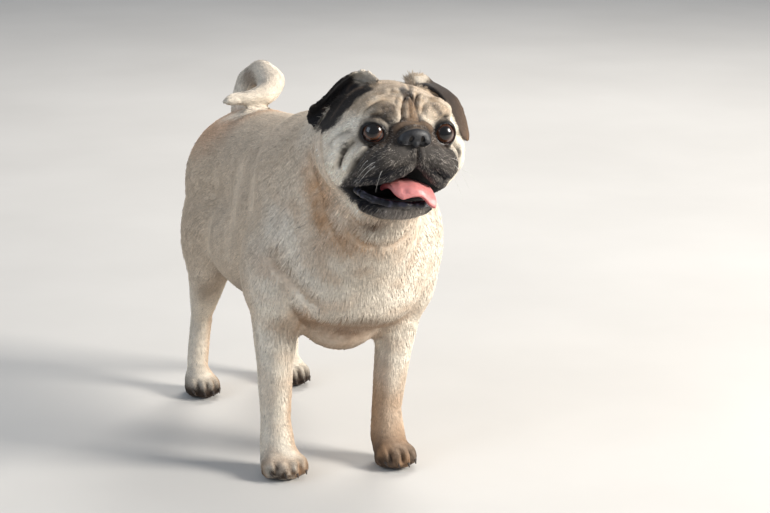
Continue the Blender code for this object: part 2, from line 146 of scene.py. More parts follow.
def nearest_on(line, points):
    """Distance from each point to the line's nearest sample, and that sample's number."""
    best = np.full(len(points), 9.0)
    index = np.zeros(len(points), int)
    for i, sample in enumerate(line):
        distance = np.linalg.norm(points - sample, axis=1)
        closer = distance < best
        best[closer] = distance[closer]
        index[closer] = i
    return best, index


def ripples(points, size, seed, count=7):
    """Smooth noise from -1 to 1, of the given size, as a sum of plane waves."""
    draw = np.random.default_rng(seed)
    total = np.zeros(len(points))
    for direction in unit(draw.normal(size=(count, 3))):
        waves = 2 * np.pi / size * draw.uniform(0.6, 1.5)
        total += np.sin(points @ direction * waves + draw.uniform(0, 2 * np.pi))
    return total / count * 1.6


# The skin's field: negative inside the skin. It is worked out on an even grid, then read on a finer one

OUTLINE_VOXEL = 0.0015
CLOSE_GAPS = 0.0005
OUTLINE_BAND = 9
FACET_BLUR = 1.25
EAR_VOXEL = 0.0007
EAR_BAND = 8
MARGIN = 0.012
FAR = 0.05


def soup(names):
    """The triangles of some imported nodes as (points, faces)."""
    points, faces, start = [], [], 0
    for name in names:
        mesh = nodes[name].data
        mesh.calc_loop_triangles()
        co = np.empty(len(mesh.vertices) * 3, np.float32)
        mesh.vertices.foreach_get("co", co)
        tri = np.empty(len(mesh.loop_triangles) * 3, np.int32)
        mesh.loop_triangles.foreach_get("vertices", tri)
        points.append(co.reshape(-1, 3))
        faces.append(tri.reshape(-1, 3) + start)
        start += len(mesh.vertices)
    return np.concatenate(points), np.concatenate(faces).astype(np.uint32)


def level_set(points, voxel, band, triangles=None, quads=None):
    return vdb.FloatGrid.createLevelSetFromPolygons(
        points, triangles=triangles, quads=quads, transform=vdb.createLinearTransform(voxel), halfWidth=band
    )


def blurred(field, sigma):
    """A Gaussian blur; sigma is in cells."""
    reach = int(3 * sigma) + 1
    taps = np.exp(-0.5 * (np.arange(-reach, reach + 1) / sigma) ** 2)
    taps /= taps.sum()
    for axis in range(3):
        padded = np.pad(field, [(reach, reach) if a == axis else (0, 0) for a in range(3)], mode="edge")
        total = np.zeros_like(field)
        for i, weight in enumerate(taps):
            window = [slice(None)] * 3
            window[axis] = slice(i, i + field.shape[axis])
            total += np.float32(weight) * padded[tuple(window)]
        field = total
    return field


def even_field(names, voxel, band, blur):
    """(field, its lowest corner): the signed distance to some nodes as one closed body, facets blurred away."""
    points, faces = soup(names)
    grid = level_set(points, voxel, band, triangles=faces)
    points, triangles, quads = grid.convertToPolygons(isovalue=CLOSE_GAPS)
    grid = level_set(points, voxel, band, triangles=triangles, quads=quads)
    low = np.floor((points.min(0) - MARGIN) / voxel).astype(int)
    high = np.ceil((points.max(0) + MARGIN) / voxel).astype(int)
    field = np.zeros(high - low + 1, np.float32)
    grid.copyToArray(field, ijk=tuple(int(i) for i in low))
    return blurred(field + CLOSE_GAPS, blur), low * voxel


def read_field(field, low, voxel, axes):
    """The field read on other axes with a cubic through four cells each way."""
    for axis, places in enumerate(axes):
        at = np.clip((places - low[axis]) / voxel, 1.001, field.shape[axis] - 2.001)
        index = at.astype(int)
        t = (at - index).astype(np.float32)
        weights = (
            ((-t + 2) * t - 1) * t / 2,
            ((3 * t - 5) * t) * t / 2 + 1,
            ((-3 * t + 4) * t + 1) * t / 2,
            ((t - 1) * t) * t / 2,
        )
        shape = [-1 if a == axis else 1 for a in range(3)]
        field = sum(
            np.take(field, index + k - 1, axis=axis) * weight.reshape(shape) for k, weight in enumerate(weights)
        )
    return field


def spaced(stops):
    """An axis from ((place, step), ...): each step is used up to the next place."""
    parts = []
    for (start, step), (end, _) in zip(stops, stops[1:]):
        parts.append(np.linspace(start, end, max(int(round((end - start) / step)), 1), endpoint=False))
    return np.concatenate(parts + [[stops[-1][0]]])


def skin_axes():
    """Fine over the face, even finer at the eyes and lips, coarse over the trunk."""
    head, paws = HEAD_AT, PAWS_AT
    low = np.array(cad_low) - MARGIN
    high = np.array(cad_high) + MARGIN
    xs = spaced([(low[0], 0.0027), (head[0] - 0.060, 0.0013), (head[0] + 0.064, 0.0021), (high[0], 0)])
    ys = spaced(
        [(low[1], 0.0012), (head[1] - 0.024, 0.0022), (head[1] + 0.032, 0.0052), (paws[1] + 0.110, 0.0036), (high[1], 0)]
    )
    zs = spaced(
        [(low[2], 0.0020), (0.034, 0.0055), (head[2] - 0.078, 0.0013), (head[2] + 0.054, 0.0022), (high[2], 0)]
    )
    return xs, ys, zs


def ball_field(points, centre, radii):
    q = (points - np.asarray(centre)) / np.asarray(radii)
    length = np.sqrt((q**2).sum(-1))
    slope = np.sqrt(((q / np.asarray(radii)) ** 2).sum(-1))
    return length * (length - 1) / np.maximum(slope, 1e-9)


def limb_field(points, start, end, start_radius, end_radius):
    start, end = np.asarray(start, float), np.asarray(end, float)
    along = end - start
    t = np.clip(((points - start) @ along) / (along @ along), 0, 1)
    off = points - start - t[..., None] * along
    return np.sqrt((off**2).sum(-1)) - (start_radius + (end_radius - start_radius) * t)


# The coat's depth over the skin

BODY_DEPTH = 0.0030
NECK_DEPTH = 0.0034
LEG_DEPTH = 0.0019
PAW_DEPTH = 0.0010
FACE_DEPTH = 0.0009
CHEEK_DEPTH = 0.0018
TAIL_DEPTH = 0.0028
EAR_DEPTH = 0.0004
EAR_SUNK = 0.0001


def coat_depth(points):
    """How far the coat's tips stand over the skin, at points of the row frame."""
    body = np.array(points) - PAWS_AT
    head = in_head(points)
    x, y, z = body[..., 0], body[..., 1], body[..., 2]
    depth = BODY_DEPTH + (NECK_DEPTH - BODY_DEPTH) * (1 - smooth_step(-0.10, -0.03, y))
    legs = 1 - smooth_step(0.085, 0.150, z)
    depth += (LEG_DEPTH - depth) * legs
    depth += (PAW_DEPTH - depth) * (1 - smooth_step(0.020, 0.045, z))
    near_head = 1 - smooth_step(0.050, 0.085, np.linalg.norm(head * (1, 0.85, 1), axis=-1))
    depth += (CHEEK_DEPTH - depth) * near_head
    front = 1 - smooth_step(-0.020, 0.010, head[..., 1])
    depth += (FACE_DEPTH - depth) * near_head * front
    root_at, root_radii = FURRY_ROOT
    furry = np.exp(-(((head - root_at) / root_radii) ** 2).sum(-1))
    depth += (NECK_DEPTH - depth) * np.clip(furry * 2, 0, 1)
    tail = smooth_step(0.100, 0.130, y) * smooth_step(0.285, 0.300, z)
    depth += (TAIL_DEPTH - depth) * tail
    return depth


FLESH = [
    name
    for name in nodes
    if not name.startswith(("eye_", "claw_", "ear_")) and name not in ("nose", "tongue")
]
LID_THICKNESS = 0.0015
LIP_RADIUS = 0.0032
LIP_FOOT_Z = -0.0572
LOWER_LIP = [
    (-0.0390, -0.0290, -0.0470),
    (-0.0370, -0.0400, -0.0495),
    (-0.0300, -0.0480, -0.0530),
    (-0.0170, -0.0545, -0.0555),
    (-0.0020, -0.0570, -0.0565),
    (0.0140, -0.0550, -0.0560),
    (0.0240, -0.0480, -0.0550),
    (0.0290, -0.0380, -0.0530),
]
EYE_OPEN_WIDE = 0.0097
EYE_OPEN_HIGH = {"left": 0.0088, "right": 0.0079}
EYE_OPEN_LIFT = {"left": 0.0002, "right": -0.0005}
OPENING = {"left": np.array((0.16, -1.0, 0.02)), "right": np.array((-0.54, -1.0, 0.02))}
# Where the left ear joins the skull: a limb's ends and radii
EAR_WEB = ((0.0280, -0.012, 0.0435), (0.0470, -0.018, 0.0310), 0.0042, 0.0045)
FLEW_RADIUS = 0.0042
FLEWS = [
    [
        (-0.0028, -0.0610, -0.0215),
        (-0.0091, -0.0605, -0.0258),
        (-0.0187, -0.0570, -0.0305),
        (-0.0286, -0.0515, -0.0332),
        (-0.0360, -0.0430, -0.0362),
        (-0.0415, -0.0350, -0.0384),
    ],
    [
        (0.0110, -0.0595, -0.0205),
        (0.0183, -0.0570, -0.0265),
        (0.0261, -0.0530, -0.0323),
        (0.0347, -0.0465, -0.0375),
        (0.0400, -0.0370, -0.0375),
    ],
]
GAZE = {"left": np.array((-0.02, -1.0, 0.15)), "right": np.array((-0.60, -1.0, 0.27))}


def eye_centre(side):
    return EYE_AT * (side, 1, 1)


def aperture(local, name):
    """Negative in the opening between the lids of one eye; local is in the head's frame."""
    side = SIDES[name]
    out = unit(OPENING[name])
    across = unit(np.cross(out, (0, 0, 1)))
    up = np.cross(across, out)
    q = local - eye_centre(side)
    forward = q @ out
    wide = q @ across / EYE_OPEN_WIDE
    high = (q @ up - EYE_OPEN_LIFT[name]) / EYE_OPEN_HIGH[name]
    ring = (np.sqrt(wide**2 + high**2) - 1) * EYE_OPEN_HIGH[name]
    return np.maximum(ring, 0.003 - forward)


def skin_field():
    """(field, axes) of the skin, but for what is pressed into its mesh afterwards."""
    axes = skin_axes()
    body, low = even_field(FLESH, OUTLINE_VOXEL, OUTLINE_BAND, FACET_BLUR)
    field = read_field(body, low, OUTLINE_VOXEL, axes)
    xs, ys, zs = axes
    grid = np.stack(np.meshgrid(xs, ys, zs, indexing="ij"), -1)
    for i in range(0, len(xs), 24):
        field[i : i + 24] += coat_depth(grid[i : i + 24])
    # The head's fine forms are added in its own box
    reach = np.array((0.085, 0.080, 0.090))
    window = tuple(
        slice(*np.searchsorted(places, (HEAD_AT[a] - reach[a], HEAD_AT[a] + reach[a]))) for a, places in enumerate(axes)
    )
    local = in_head(grid[window])
    face = field[window]
    root_at, root_radii = FURRY_ROOT
    face = smooth_min(face, ball_field(local, np.array(root_at), np.array(root_radii) - FURRY_ROOT_DEPTH), 0.004)
    for start, end in zip(LOWER_LIP, LOWER_LIP[1:]):
        face = smooth_min(face, limb_field(local, start, end, LIP_RADIUS, LIP_RADIUS), 0.0016)
    face = smooth_min(face, limb_field(local, *EAR_WEB), 0.003)
    for flew in FLEWS:
        for start, end in zip(flew, flew[1:]):
            face = smooth_min(face, limb_field(local, start, end, FLEW_RADIUS, FLEW_RADIUS), 0.0020)
    face = smooth_min(face, ball_field(local, NOSE_AT + (0, 0.0050, -0.0005), (0.0165, 0.0100, 0.0100)), 0.004)
    for name, side in SIDES.items():
        lid = np.linalg.norm(local - eye_centre(side), axis=-1) - (EYE_RADIUS + LID_THICKNESS)
        face = smooth_min(face, lid, 0.0045)
        ear_names = ["ear_" + name]
        ear, ear_low = even_field(ear_names, EAR_VOXEL, EAR_BAND, 0.9)
        ear_window = tuple(
            slice(*np.searchsorted(places, (ear_low[a], ear_low[a] + ear.shape[a] * EAR_VOXEL)))
            for a, places in enumerate(axes)
        )
        inner = read_field(ear, ear_low, EAR_VOXEL, [axes[a][ear_window[a]] for a in range(3)]) + EAR_SUNK
        whole = np.full(field.shape, FAR, np.float32)
        whole[ear_window] = inner
        face = smooth_min(face, whole[window], 0.005)
    for name in SIDES:
        face = np.maximum(face, -aperture(local, name))
    field[window] = face
    return field, axes


def surface(field, axes):
    """(points, triangles, quads) of a field's zero surface."""
    grid = vdb.FloatGrid(FAR)
    grid.copyFromArray(np.clip(field, -0.02, 0.02).astype(np.float32), tolerance=0)
    index, triangles, quads = grid.convertToPolygons(isovalue=0.0, adaptivity=0.0)
    points = np.stack([np.interp(index[:, a], np.arange(len(axes[a])), axes[a]) for a in range(3)], 1)
    return points, triangles, quads


def mesh_object(name, points, faces, smooth=True):
    """An object from points and lists of faces; each list holds faces of one size."""
    mesh = bpy.data.meshes.new(name)
    lists = [np.asarray(part) for part in faces if len(part)]
    sizes = np.concatenate([np.full(len(part), part.shape[1]) for part in lists])
    corners = np.concatenate([part.ravel() for part in lists]).astype(np.int32)
    mesh.vertices.add(len(points))
    mesh.vertices.foreach_set("co", np.asarray(points, np.float32).ravel())
    mesh.loops.add(len(corners))
    mesh.loops.foreach_set("vertex_index", corners)
    mesh.polygons.add(len(sizes))
    mesh.polygons.foreach_set("loop_start", (np.cumsum(sizes) - sizes).astype(np.int32))
    mesh.update(calc_edges=True)
    mesh.polygons.foreach_set("use_smooth", np.full(len(sizes), smooth))
    obj = bpy.data.objects.new(name, mesh)
    bpy.context.scene.collection.objects.link(obj)
    return obj


def vertex_arrays(mesh):
    co = np.empty(len(mesh.vertices) * 3, np.float32)
    mesh.vertices.foreach_get("co", co)
    normal = np.empty(len(mesh.vertices) * 3, np.float32)
    mesh.vertices.foreach_get("normal", normal)
    return co.reshape(-1, 3).astype(float), normal.reshape(-1, 3).astype(float)


# The mouth's wedge and the ears, as the solids have them, in the head's frame

MOUTH_HALF = [
    (0.007, -0.090, -0.0120),
    (0.007, -0.014, -0.0360),
    (0.038, -0.090, -0.0400),
    (0.030, -0.090, -0.0560),
    (0.030, -0.014, -0.0545),
    (0.062, -0.090, -0.0505),
    (0.062, -0.022, -0.0515),
]
MIRROR = np.array((-1, 1, 1))


def mouth_planes():
    """The planes of the mouth's wedge as (normals, distances)."""
    mesh = bmesh.new()
    for side in (1, -1):
        for x, y, z in MOUTH_HALF:
            mesh.verts.new((side * x, y, z))
    bmesh.ops.convex_hull(mesh, input=mesh.verts)
    centre = Vector((0, -0.05, -0.045))
    normals, distances = [], []
    for face in mesh.faces:
        if face.calc_area() < 1e-9:
            continue
        normal = face.normal if (face.calc_center_median() - centre).dot(face.normal) > 0 else -face.normal
        normals.append(normal[:])
        distances.append(normal.dot(face.verts[0].co))
    mesh.free()
    return np.array(normals), np.array(distances)


def in_mouth(local):
    """Negative inside the mouth's wedge, about zero on its walls; the hanging lips are outside it."""
    normals, distances = mouth_planes()
    wedge = (local @ normals.T - distances).max(1)
    for flew in FLEWS:
        line, _ = curve(flew, 0.001)
        wedge = np.maximum(wedge, FLEW_RADIUS + 0.0050 - nearest_on(line, local)[0])
    return wedge


def search_tree(names):
    points, faces = soup(names)
    return BVHTree.FromPolygons(points.tolist(), faces.tolist())


def distance_to(tree, points, most):
    """Distance from each point to a tree's surface, and most where it is further."""
    found = np.full(len(points), most)
    for i, point in enumerate(points.tolist()):
        distance = tree.find_nearest(point, most)[3]
        if distance is not None:
            found[i] = distance
    return found


# Creases are (points, depth, half width, darkness), the darkness being painted shade along the crease; rolls are
# (points, height, half width)

FOREHEAD_CREASES = [
    ([(0.010, -0.014, 0.049), (0.006, -0.030, 0.047), (0.0005, -0.041, 0.041)], 0.0022, 0.0021, 0.8),
    (
        [(0.0005, -0.041, 0.041), (-0.0055, -0.047, 0.036), (-0.0085, -0.052, 0.028), (-0.0097, -0.055, 0.019)],
        0.0034,
        0.0019,
        1.0,
    ),
    ([(0.0005, -0.041, 0.041), (0.0035, -0.050, 0.0325), (0.0030, -0.056, 0.021)], 0.0028, 0.0015, 0.9),
    (
        [(0.0115, -0.037, 0.043), (0.0060, -0.047, 0.035), (0.0056, -0.053, 0.0275), (0.0062, -0.056, 0.0185)],
        0.0032,
        0.0017,
        1.0,
    ),
    ([(-0.0097, -0.055, 0.020), (-0.0125, -0.056, 0.0150), (-0.0185, -0.055, 0.0120)], 0.0034, 0.0019, 1.0),
    ([(0.0062, -0.056, 0.0190), (0.0110, -0.056, 0.0155), (0.0185, -0.055, 0.0115)], 0.0034, 0.0019, 1.0),
    ([(-0.012, -0.030, 0.048), (-0.016, -0.041, 0.042), (-0.025, -0.044, 0.039)], 0.0016, 0.0025, 0.4),
    ([(-0.027, -0.030, 0.045), (-0.036, -0.038, 0.038), (-0.044, -0.038, 0.029)], 0.0012, 0.0028, 0.3),
    ([(0.017, -0.030, 0.047), (0.025, -0.039, 0.041), (0.036, -0.041, 0.034)], 0.0014, 0.0026, 0.35),
]
# These lie on both sides, given for the dog's left
FACE_CREASES = [
    # over the brow pad
    (
        [
            (0.0085, -0.054, 0.022),
            (0.0115, -0.051, 0.0305),
            (0.0190, -0.048, 0.0345),
            (0.0290, -0.047, 0.0330),
            (0.0390, -0.044, 0.0250),
            (0.0440, -0.041, 0.0180),
        ],
        0.0030,
        0.0021,
        0.55,
    ),
    # between the nose roll and the brow
    (
        [(0.003, -0.060, 0.0250), (0.012, -0.059, 0.0190), (0.0200, -0.057, 0.0125), (0.026, -0.057, 0.0045)],
        0.0018,
        0.0017,
        0.6,
    ),
    # under the nose roll, beside and above the nose leather
    (
        [
            (0.000, -0.064, 0.0170),
            (0.010, -0.063, 0.0145),
            (0.0175, -0.061, 0.0080),
            (0.0220, -0.060, 0.0010),
            (0.0290, -0.061, -0.0070),
        ],
        0.0034,
        0.0018,
        0.9,
    ),
    # the mask's edge, down to the corner of the mouth
    (
        [
            (0.0290, -0.057, 0.0010),
            (0.0360, -0.055, -0.0040),
            (0.0420, -0.052, -0.0110),
            (0.0470, -0.046, -0.0210),
            (0.0500, -0.036, -0.0330),
        ],
        0.0058,
        0.0022,
        1.3,
    ),
    # over the cheek
    (
        [(0.0460, -0.041, 0.000), (0.0520, -0.038, -0.0070), (0.0560, -0.033, -0.0170), (0.0570, -0.027, -0.030)],
        0.0036,
        0.0025,
        0.8,
    ),
    # under the eye
    ([(0.0230, -0.058, 0.0030), (0.030, -0.058, -0.0040), (0.038, -0.053, -0.0050), (0.0455, -0.043, 0.001)], 0.0018, 0.0015, 0.8),
    # from the eye's outer corner
    ([(0.048, -0.037, 0.008), (0.055, -0.028, 0.004), (0.061, -0.018, -0.006)], 0.0018, 0.0028, 0.4),
    # the cheek's back edge, round the jaw
    (
        [
            (0.0640, 0.006, 0.012),
            (0.0670, -0.003, -0.008),
            (0.0650, -0.010, -0.028),
            (0.0530, -0.008, -0.050),
            (0.0350, -0.005, -0.072),
            (0.0150, -0.004, -0.084),
        ],
        0.0036,
        0.0034,
        0.34,
    ),
    # the neck's first roll
    (
        [
            (0.0660, 0.022, 0.000),
            (0.0640, 0.013, -0.028),
            (0.0540, 0.006, -0.056),
            (0.0400, 0.003, -0.080),
            (0.0180, 0.002, -0.0960),
            (0.000, 0.002, -0.1000),
        ],
        0.0042,
        0.0042,
        0.40,
    ),
    # the neck's second roll
    (
        [
            (0.0700, 0.036, -0.012),
            (0.0620, 0.030, -0.040),
            (0.0500, 0.021, -0.076),
            (0.0360, 0.013, -0.104),
            (0.0150, 0.009, -0.122),
        ],
        0.0046,
        0.0050,
        0.34,
    ),
]
PHILTRUM = ([(0.0026, -0.0650, -0.0020), (0.0032, -0.0655, -0.0095), (0.0042, -0.0645, -0.0190)], 0.0030, 0.0017, 1.3)
ROLLS = [
    (
        [
            (0.000, -0.063, 0.0215),
            (0.010, -0.061, 0.0180),
            (0.0185, -0.059, 0.0105),
            (0.024, -0.059, 0.003),
            (0.031, -0.058, -0.004),
        ],
        0.0025,
        0.0027,
    ),
    ([(0.033, -0.054, -0.006), (0.0395, -0.054, -0.015), (0.0440, -0.049, -0.027)], 0.0016, 0.0040),
    ([(0.040, -0.052, -0.002), (0.0465, -0.049, -0.0095), (0.0510, -0.045, -0.0190), (0.0535, -0.036, -0.029)], 0.0034, 0.0030),
    ([(0.013, -0.048, 0.0385), (0.022, -0.044, 0.041), (0.033, -0.040, 0.037)], 0.0018, 0.0036),
    ([(0.054, -0.030, 0.002), (0.0605, -0.026, -0.008), (0.0620, -0.020, -0.024)], 0.0022, 0.0045),
]
# Pads: (centre, radii, height), on both sides
PADS = [
    ((0.0245, -0.051, 0.0250), (0.0150, 0.014, 0.0080), 0.0046),
    ((0.0190, -0.062, -0.013), (0.0150, 0.016, 0.0110), 0.0036),
    ((0.0300, -0.058, -0.027), (0.0140, 0.016, 0.0100), 0.0026),
    ((0.0580, -0.018, -0.016), (0.0120, 0.018, 0.0180), 0.0012),
]
TOE_GAPS = (-1.0, 0.0, 1.0)
TOE_CREASE_DEPTH = 0.0024
TOE_CREASE_WIDTH = 0.0019
FORE_PAWS = {"left": (0.0490, -0.147, 0.0210), "right": (-0.0610, -0.140, 0.0238)}
HIND_PAWS = {"left": (0.0440, 0.147, 0.0185), "right": (-0.0590, 0.138, 0.0190)}
# Folds of the trunk, measured from the paws' middle: the shoulder's, the breast's lower edge, the armpit's
BODY_CREASES = [
    (
        [
            (-0.0682, -0.1286, 0.2225),
            (-0.0594, -0.1428, 0.2039),
            (-0.0531, -0.1492, 0.1963),
            (-0.0443, -0.1587, 0.1804),
            (-0.0321, -0.1661, 0.1680),
        ],
        0.0044,
        0.0060,
        0.12,
    ),
    (
        [
            (-0.0380, -0.1630, 0.1710),
            (-0.0321, -0.1661, 0.1640),
            (-0.0165, -0.1700, 0.1555),
            (-0.0028, -0.1724, 0.1525),
            (0.0260, -0.1753, 0.1530),
            (0.0469, -0.1729, 0.1580),
            (0.0611, -0.1674, 0.1640),
        ],
        0.0022,
        0.0036,
        0.30,
    ),
    ([(-0.0521, -0.1466, 0.1723), (-0.0403, -0.1374, 0.1494), (-0.0317, -0.1292, 0.1366)], 0.0040, 0.0045, 0.35),
    ([(-0.0440, -0.1560, 0.1760), (-0.0360, -0.1560, 0.1600), (-0.0260, -0.1530, 0.1500)], 0.0024, 0.0034, 0.35),
]
# Under the breast the skin draws back: centre, radii, depth
BREAST_HOLLOW = ((0.0040, -0.1640, 0.1345), (0.0430, 0.0400, 0.0170), 0.0075)
# Soft folds of the flanks, on both sides, given for the dog's left
FLANK_CREASES = [
    (
        [
            (0.0400, -0.004, 0.287),
            (0.0585, -0.006, 0.262),
            (0.0650, -0.010, 0.235),
            (0.0700, -0.010, 0.205),
            (0.0690, -0.004, 0.180),
        ],
        0.0032,
        0.0100,
        0.0,
    ),
    (
        [
            (0.0480, -0.066, 0.288),
            (0.0635, -0.064, 0.258),
            (0.0720, -0.068, 0.235),
            (0.0780, -0.074, 0.205),
            (0.0780, -0.072, 0.180),
        ],
        0.0034,
        0.0090,
        0.0,
    ),
    ([(0.0560, 0.070, 0.262), (0.0680, 0.062, 0.230), (0.0700, 0.060, 0.195), (0.0640, 0.066, 0.165)], 0.0030, 0.0090, 0.0),
]


def toe_creases():
    """The grooves between the toes, measured from the paws' middle."""
    found = []
    for paws in (FORE_PAWS, HIND_PAWS):
        for x, y, half in paws.values():
            for gap in TOE_GAPS:
                at = x + gap * half * 0.5
                forward = 0.0315 - 0.0045 * abs(gap)
                points = [
                    (at, y - forward, 0.0030),
                    (at, y - forward + 0.0015, 0.0100),
                    (at, y - forward + 0.0075, 0.0190),
                    (at, y - forward + 0.0180, 0.0270),
                ]
                found.append((points, TOE_CREASE_DEPTH, TOE_CREASE_WIDTH, 0.8))
    return found


def profiles(local, features):
    """For each line near the points: their numbers, distance over half width, end fade, and the feature."""
    for feature in features:
        line, along = curve(feature[0])
        width = feature[2]
        low, high = line.min(0) - 5 * width, line.max(0) + 5 * width
        near = np.flatnonzero(((local > low) & (local < high)).all(1))
        distance, index = nearest_on(line, local[near])
        fade = np.sqrt(np.clip(np.minimum(along[index], 1 - along[index]) * 6, 0, 1))
        yield near, distance / width, fade, feature


WIDE_CREASE = 0.0032


def pressed(local, creases):
    """How far creases move each point along its normal, and how much painted shade they lay on it."""
    shift = np.zeros(len(local))
    shade = np.zeros(len(local))
    for near, distance, fade, (_, depth, width, darkness) in profiles(local, creases):
        lobe = 0.30 if width < WIDE_CREASE else 0.10
        shift[near] -= depth * fade * (np.exp(-(distance**2)) - lobe * np.exp(-((distance - 2.1) ** 2)))
        shade[near] = np.maximum(shade[near], darkness * fade * np.exp(-((distance / 0.68) ** 2)))
    return shift, shade


def raised(local, rolls):
    shift = np.zeros(len(local))
    for near, distance, fade, (_, height, _) in profiles(local, rolls):
        shift[near] += height * fade * np.exp(-(distance**2))
    return shift


def face_relief(local):
    """The folds, rolls and pads of the head: a distance along the normal, and the creases' darkness."""
    shift, shade = pressed(local, FOREHEAD_CREASES + [PHILTRUM])
    for side in (local, local * MIRROR):
        moved, dark = pressed(side, FACE_CREASES)
        shift += moved + raised(side, ROLLS)
        shade = np.maximum(shade, dark)
        for centre, radii, height in PADS:
            shift += height * np.exp(-((((side - centre) / radii) ** 2).sum(1) ** 1.6))
    # Round the eyes and in the mouth the skin keeps its place
    for side in SIDES.values():
        distance = np.linalg.norm(local - eye_centre(side), axis=1)
        shift *= smooth_step(EYE_RADIUS + 0.0020, EYE_RADIUS + 0.0050, distance)
    shift *= smooth_step(0.0015, 0.0050, in_mouth(local))
    return shift, shade


# Colours, in sRGB as one would pick them from a chart


def linear(red, green, blue):
    c = np.array((red, green, blue), float)
    return np.where(c <= 0.04045, c / 12.92, ((c + 0.055) / 1.055) ** 2.4)


FAWN = linear(0.84, 0.765, 0.675)
CREAM = linear(0.945, 0.905, 0.84)
TAN = linear(0.70, 0.53, 0.37)
CROWN = linear(0.66, 0.575, 0.48)
CROUP = linear(0.86, 0.71, 0.585)
UNDERSIDE_SHADE = linear(0.66, 0.58, 0.50)
ROLL_TINT = linear(0.53, 0.425, 0.33)
BRIDGE_TINT = linear(0.70, 0.575, 0.45)
# Painted shade under the breast
HOLLOW_SHADE = linear(0.60, 0.49, 0.40)
MASK = linear(0.15, 0.135, 0.135)
MASK_BROWN = linear(0.36, 0.28, 0.22)
CHIN = linear(0.60, 0.56, 0.53)
SPECKLE = linear(0.56, 0.53, 0.50)
LID = linear(0.075, 0.065, 0.065)
MOUTH = linear(0.030, 0.016, 0.016)
LIP = linear(0.10, 0.10, 0.125)
GUM_AND_REFLECTION = linear(0.25, 0.25, 0.31)
VELVET = linear(0.105, 0.095, 0.10)
FLAP = linear(0.35, 0.285, 0.235)
TOES = linear(0.22, 0.17, 0.135)
# Painted shade in the creases
CREASE_SHADE = linear(0.17, 0.115, 0.08)

TAIL_PATH = [
    (0.000, 0.154, 0.276),
    (0.002, 0.168, 0.304),
    (0.006, 0.166, 0.325),
    (0.0165, 0.152, 0.3370),
    (0.0230, 0.136, 0.3280),
    (0.0140, 0.122, 0.3190),
    (-0.008, 0.114, 0.3165),
    (-0.0245, 0.112, 0.3165),
    (-0.0365, 0.114, 0.3140),
]
TAIL_REACH = 0.022
TAIL_FOOT_Z = 0.284
EAR_BASE = {"left": np.array((0.023, 0.002, 0.055)), "right": np.array((-0.0265, 0.000, 0.057))}
# The black inside of the folded ear, velvet and painted shade, the ridge across it, with its painted highlight, and the
# furry root of the other ear
EAR_INSIDE_AND_SHADE = [
    (-0.0322, -0.004, 0.0467),
    (-0.0452, -0.004, 0.0382),
    (-0.0557, -0.004, 0.0252),
    (-0.0630, -0.003, 0.0165),
    (-0.0655, 0.003, 0.0130),
]
EAR_INSIDE_AND_SHADE_WIDTH = 0.0105
EAR_RIDGE = [(-0.0319, -0.0075, 0.0436), (-0.0420, -0.002, 0.0357), (-0.0511, -0.003, 0.0255), (-0.0582, -0.007, 0.0166)]
EAR_RIDGE_WIDTH = 0.0017
# Painted highlight along the ear's ridge
EAR_RIDGE_HIGHLIGHT = linear(0.47, 0.40, 0.34)
FURRY_ROOT = ((0.0262, 0.001, 0.0490), (0.0150, 0.0105, 0.0105))
FURRY_ROOT_DEPTH = 0.0030

# The mask's half width at each height, in the head's frame
MASK_Z = (-0.088, -0.080, -0.070, -0.060, -0.048, -0.034, -0.020, -0.010, 0.000, 0.008, 0.016, 0.022)
MASK_X = (0.000, 0.024, 0.033, 0.040, 0.048, 0.050, 0.0475, 0.042, 0.034, 0.024, 0.014, 0.004)

BROW_MARKS = [
    ([(-0.0370, -0.051, 0.0195), (-0.0290, -0.049, 0.0225), (-0.0220, -0.050, 0.0265), (-0.0150, -0.052, 0.0255)], 0, 0.0042),
    ([(-0.0160, -0.054, 0.0150), (-0.0197, -0.053, 0.0190), (-0.0245, -0.050, 0.0235)], 0, 0.0042),
    ([(0.0170, -0.049, 0.0300), (0.0228, -0.049, 0.0275), (0.0260, -0.050, 0.0215)], 0, 0.0030),
    ([(0.0300, -0.050, 0.0240), (0.0370, -0.047, 0.0205), (0.0430, -0.043, 0.0160)], 0, 0.0030),
    ([(-0.0535, -0.037, -0.002), (-0.0562, -0.034, -0.0110), (-0.0575, -0.033, -0.0200), (-0.0582, -0.030, -0.028)], 0, 0.0028),
    ([(0.0535, -0.037, -0.002), (0.0562, -0.034, -0.0110), (0.0575, -0.033, -0.0200), (0.0582, -0.030, -0.028)], 0, 0.0028),
]
# The side of the dog's right foreleg's wrist has a small grey mark, and the far foreleg is browner
WRIST_MARK = ((-0.068, -0.160, 0.062), (0.006, 0.012, 0.012))


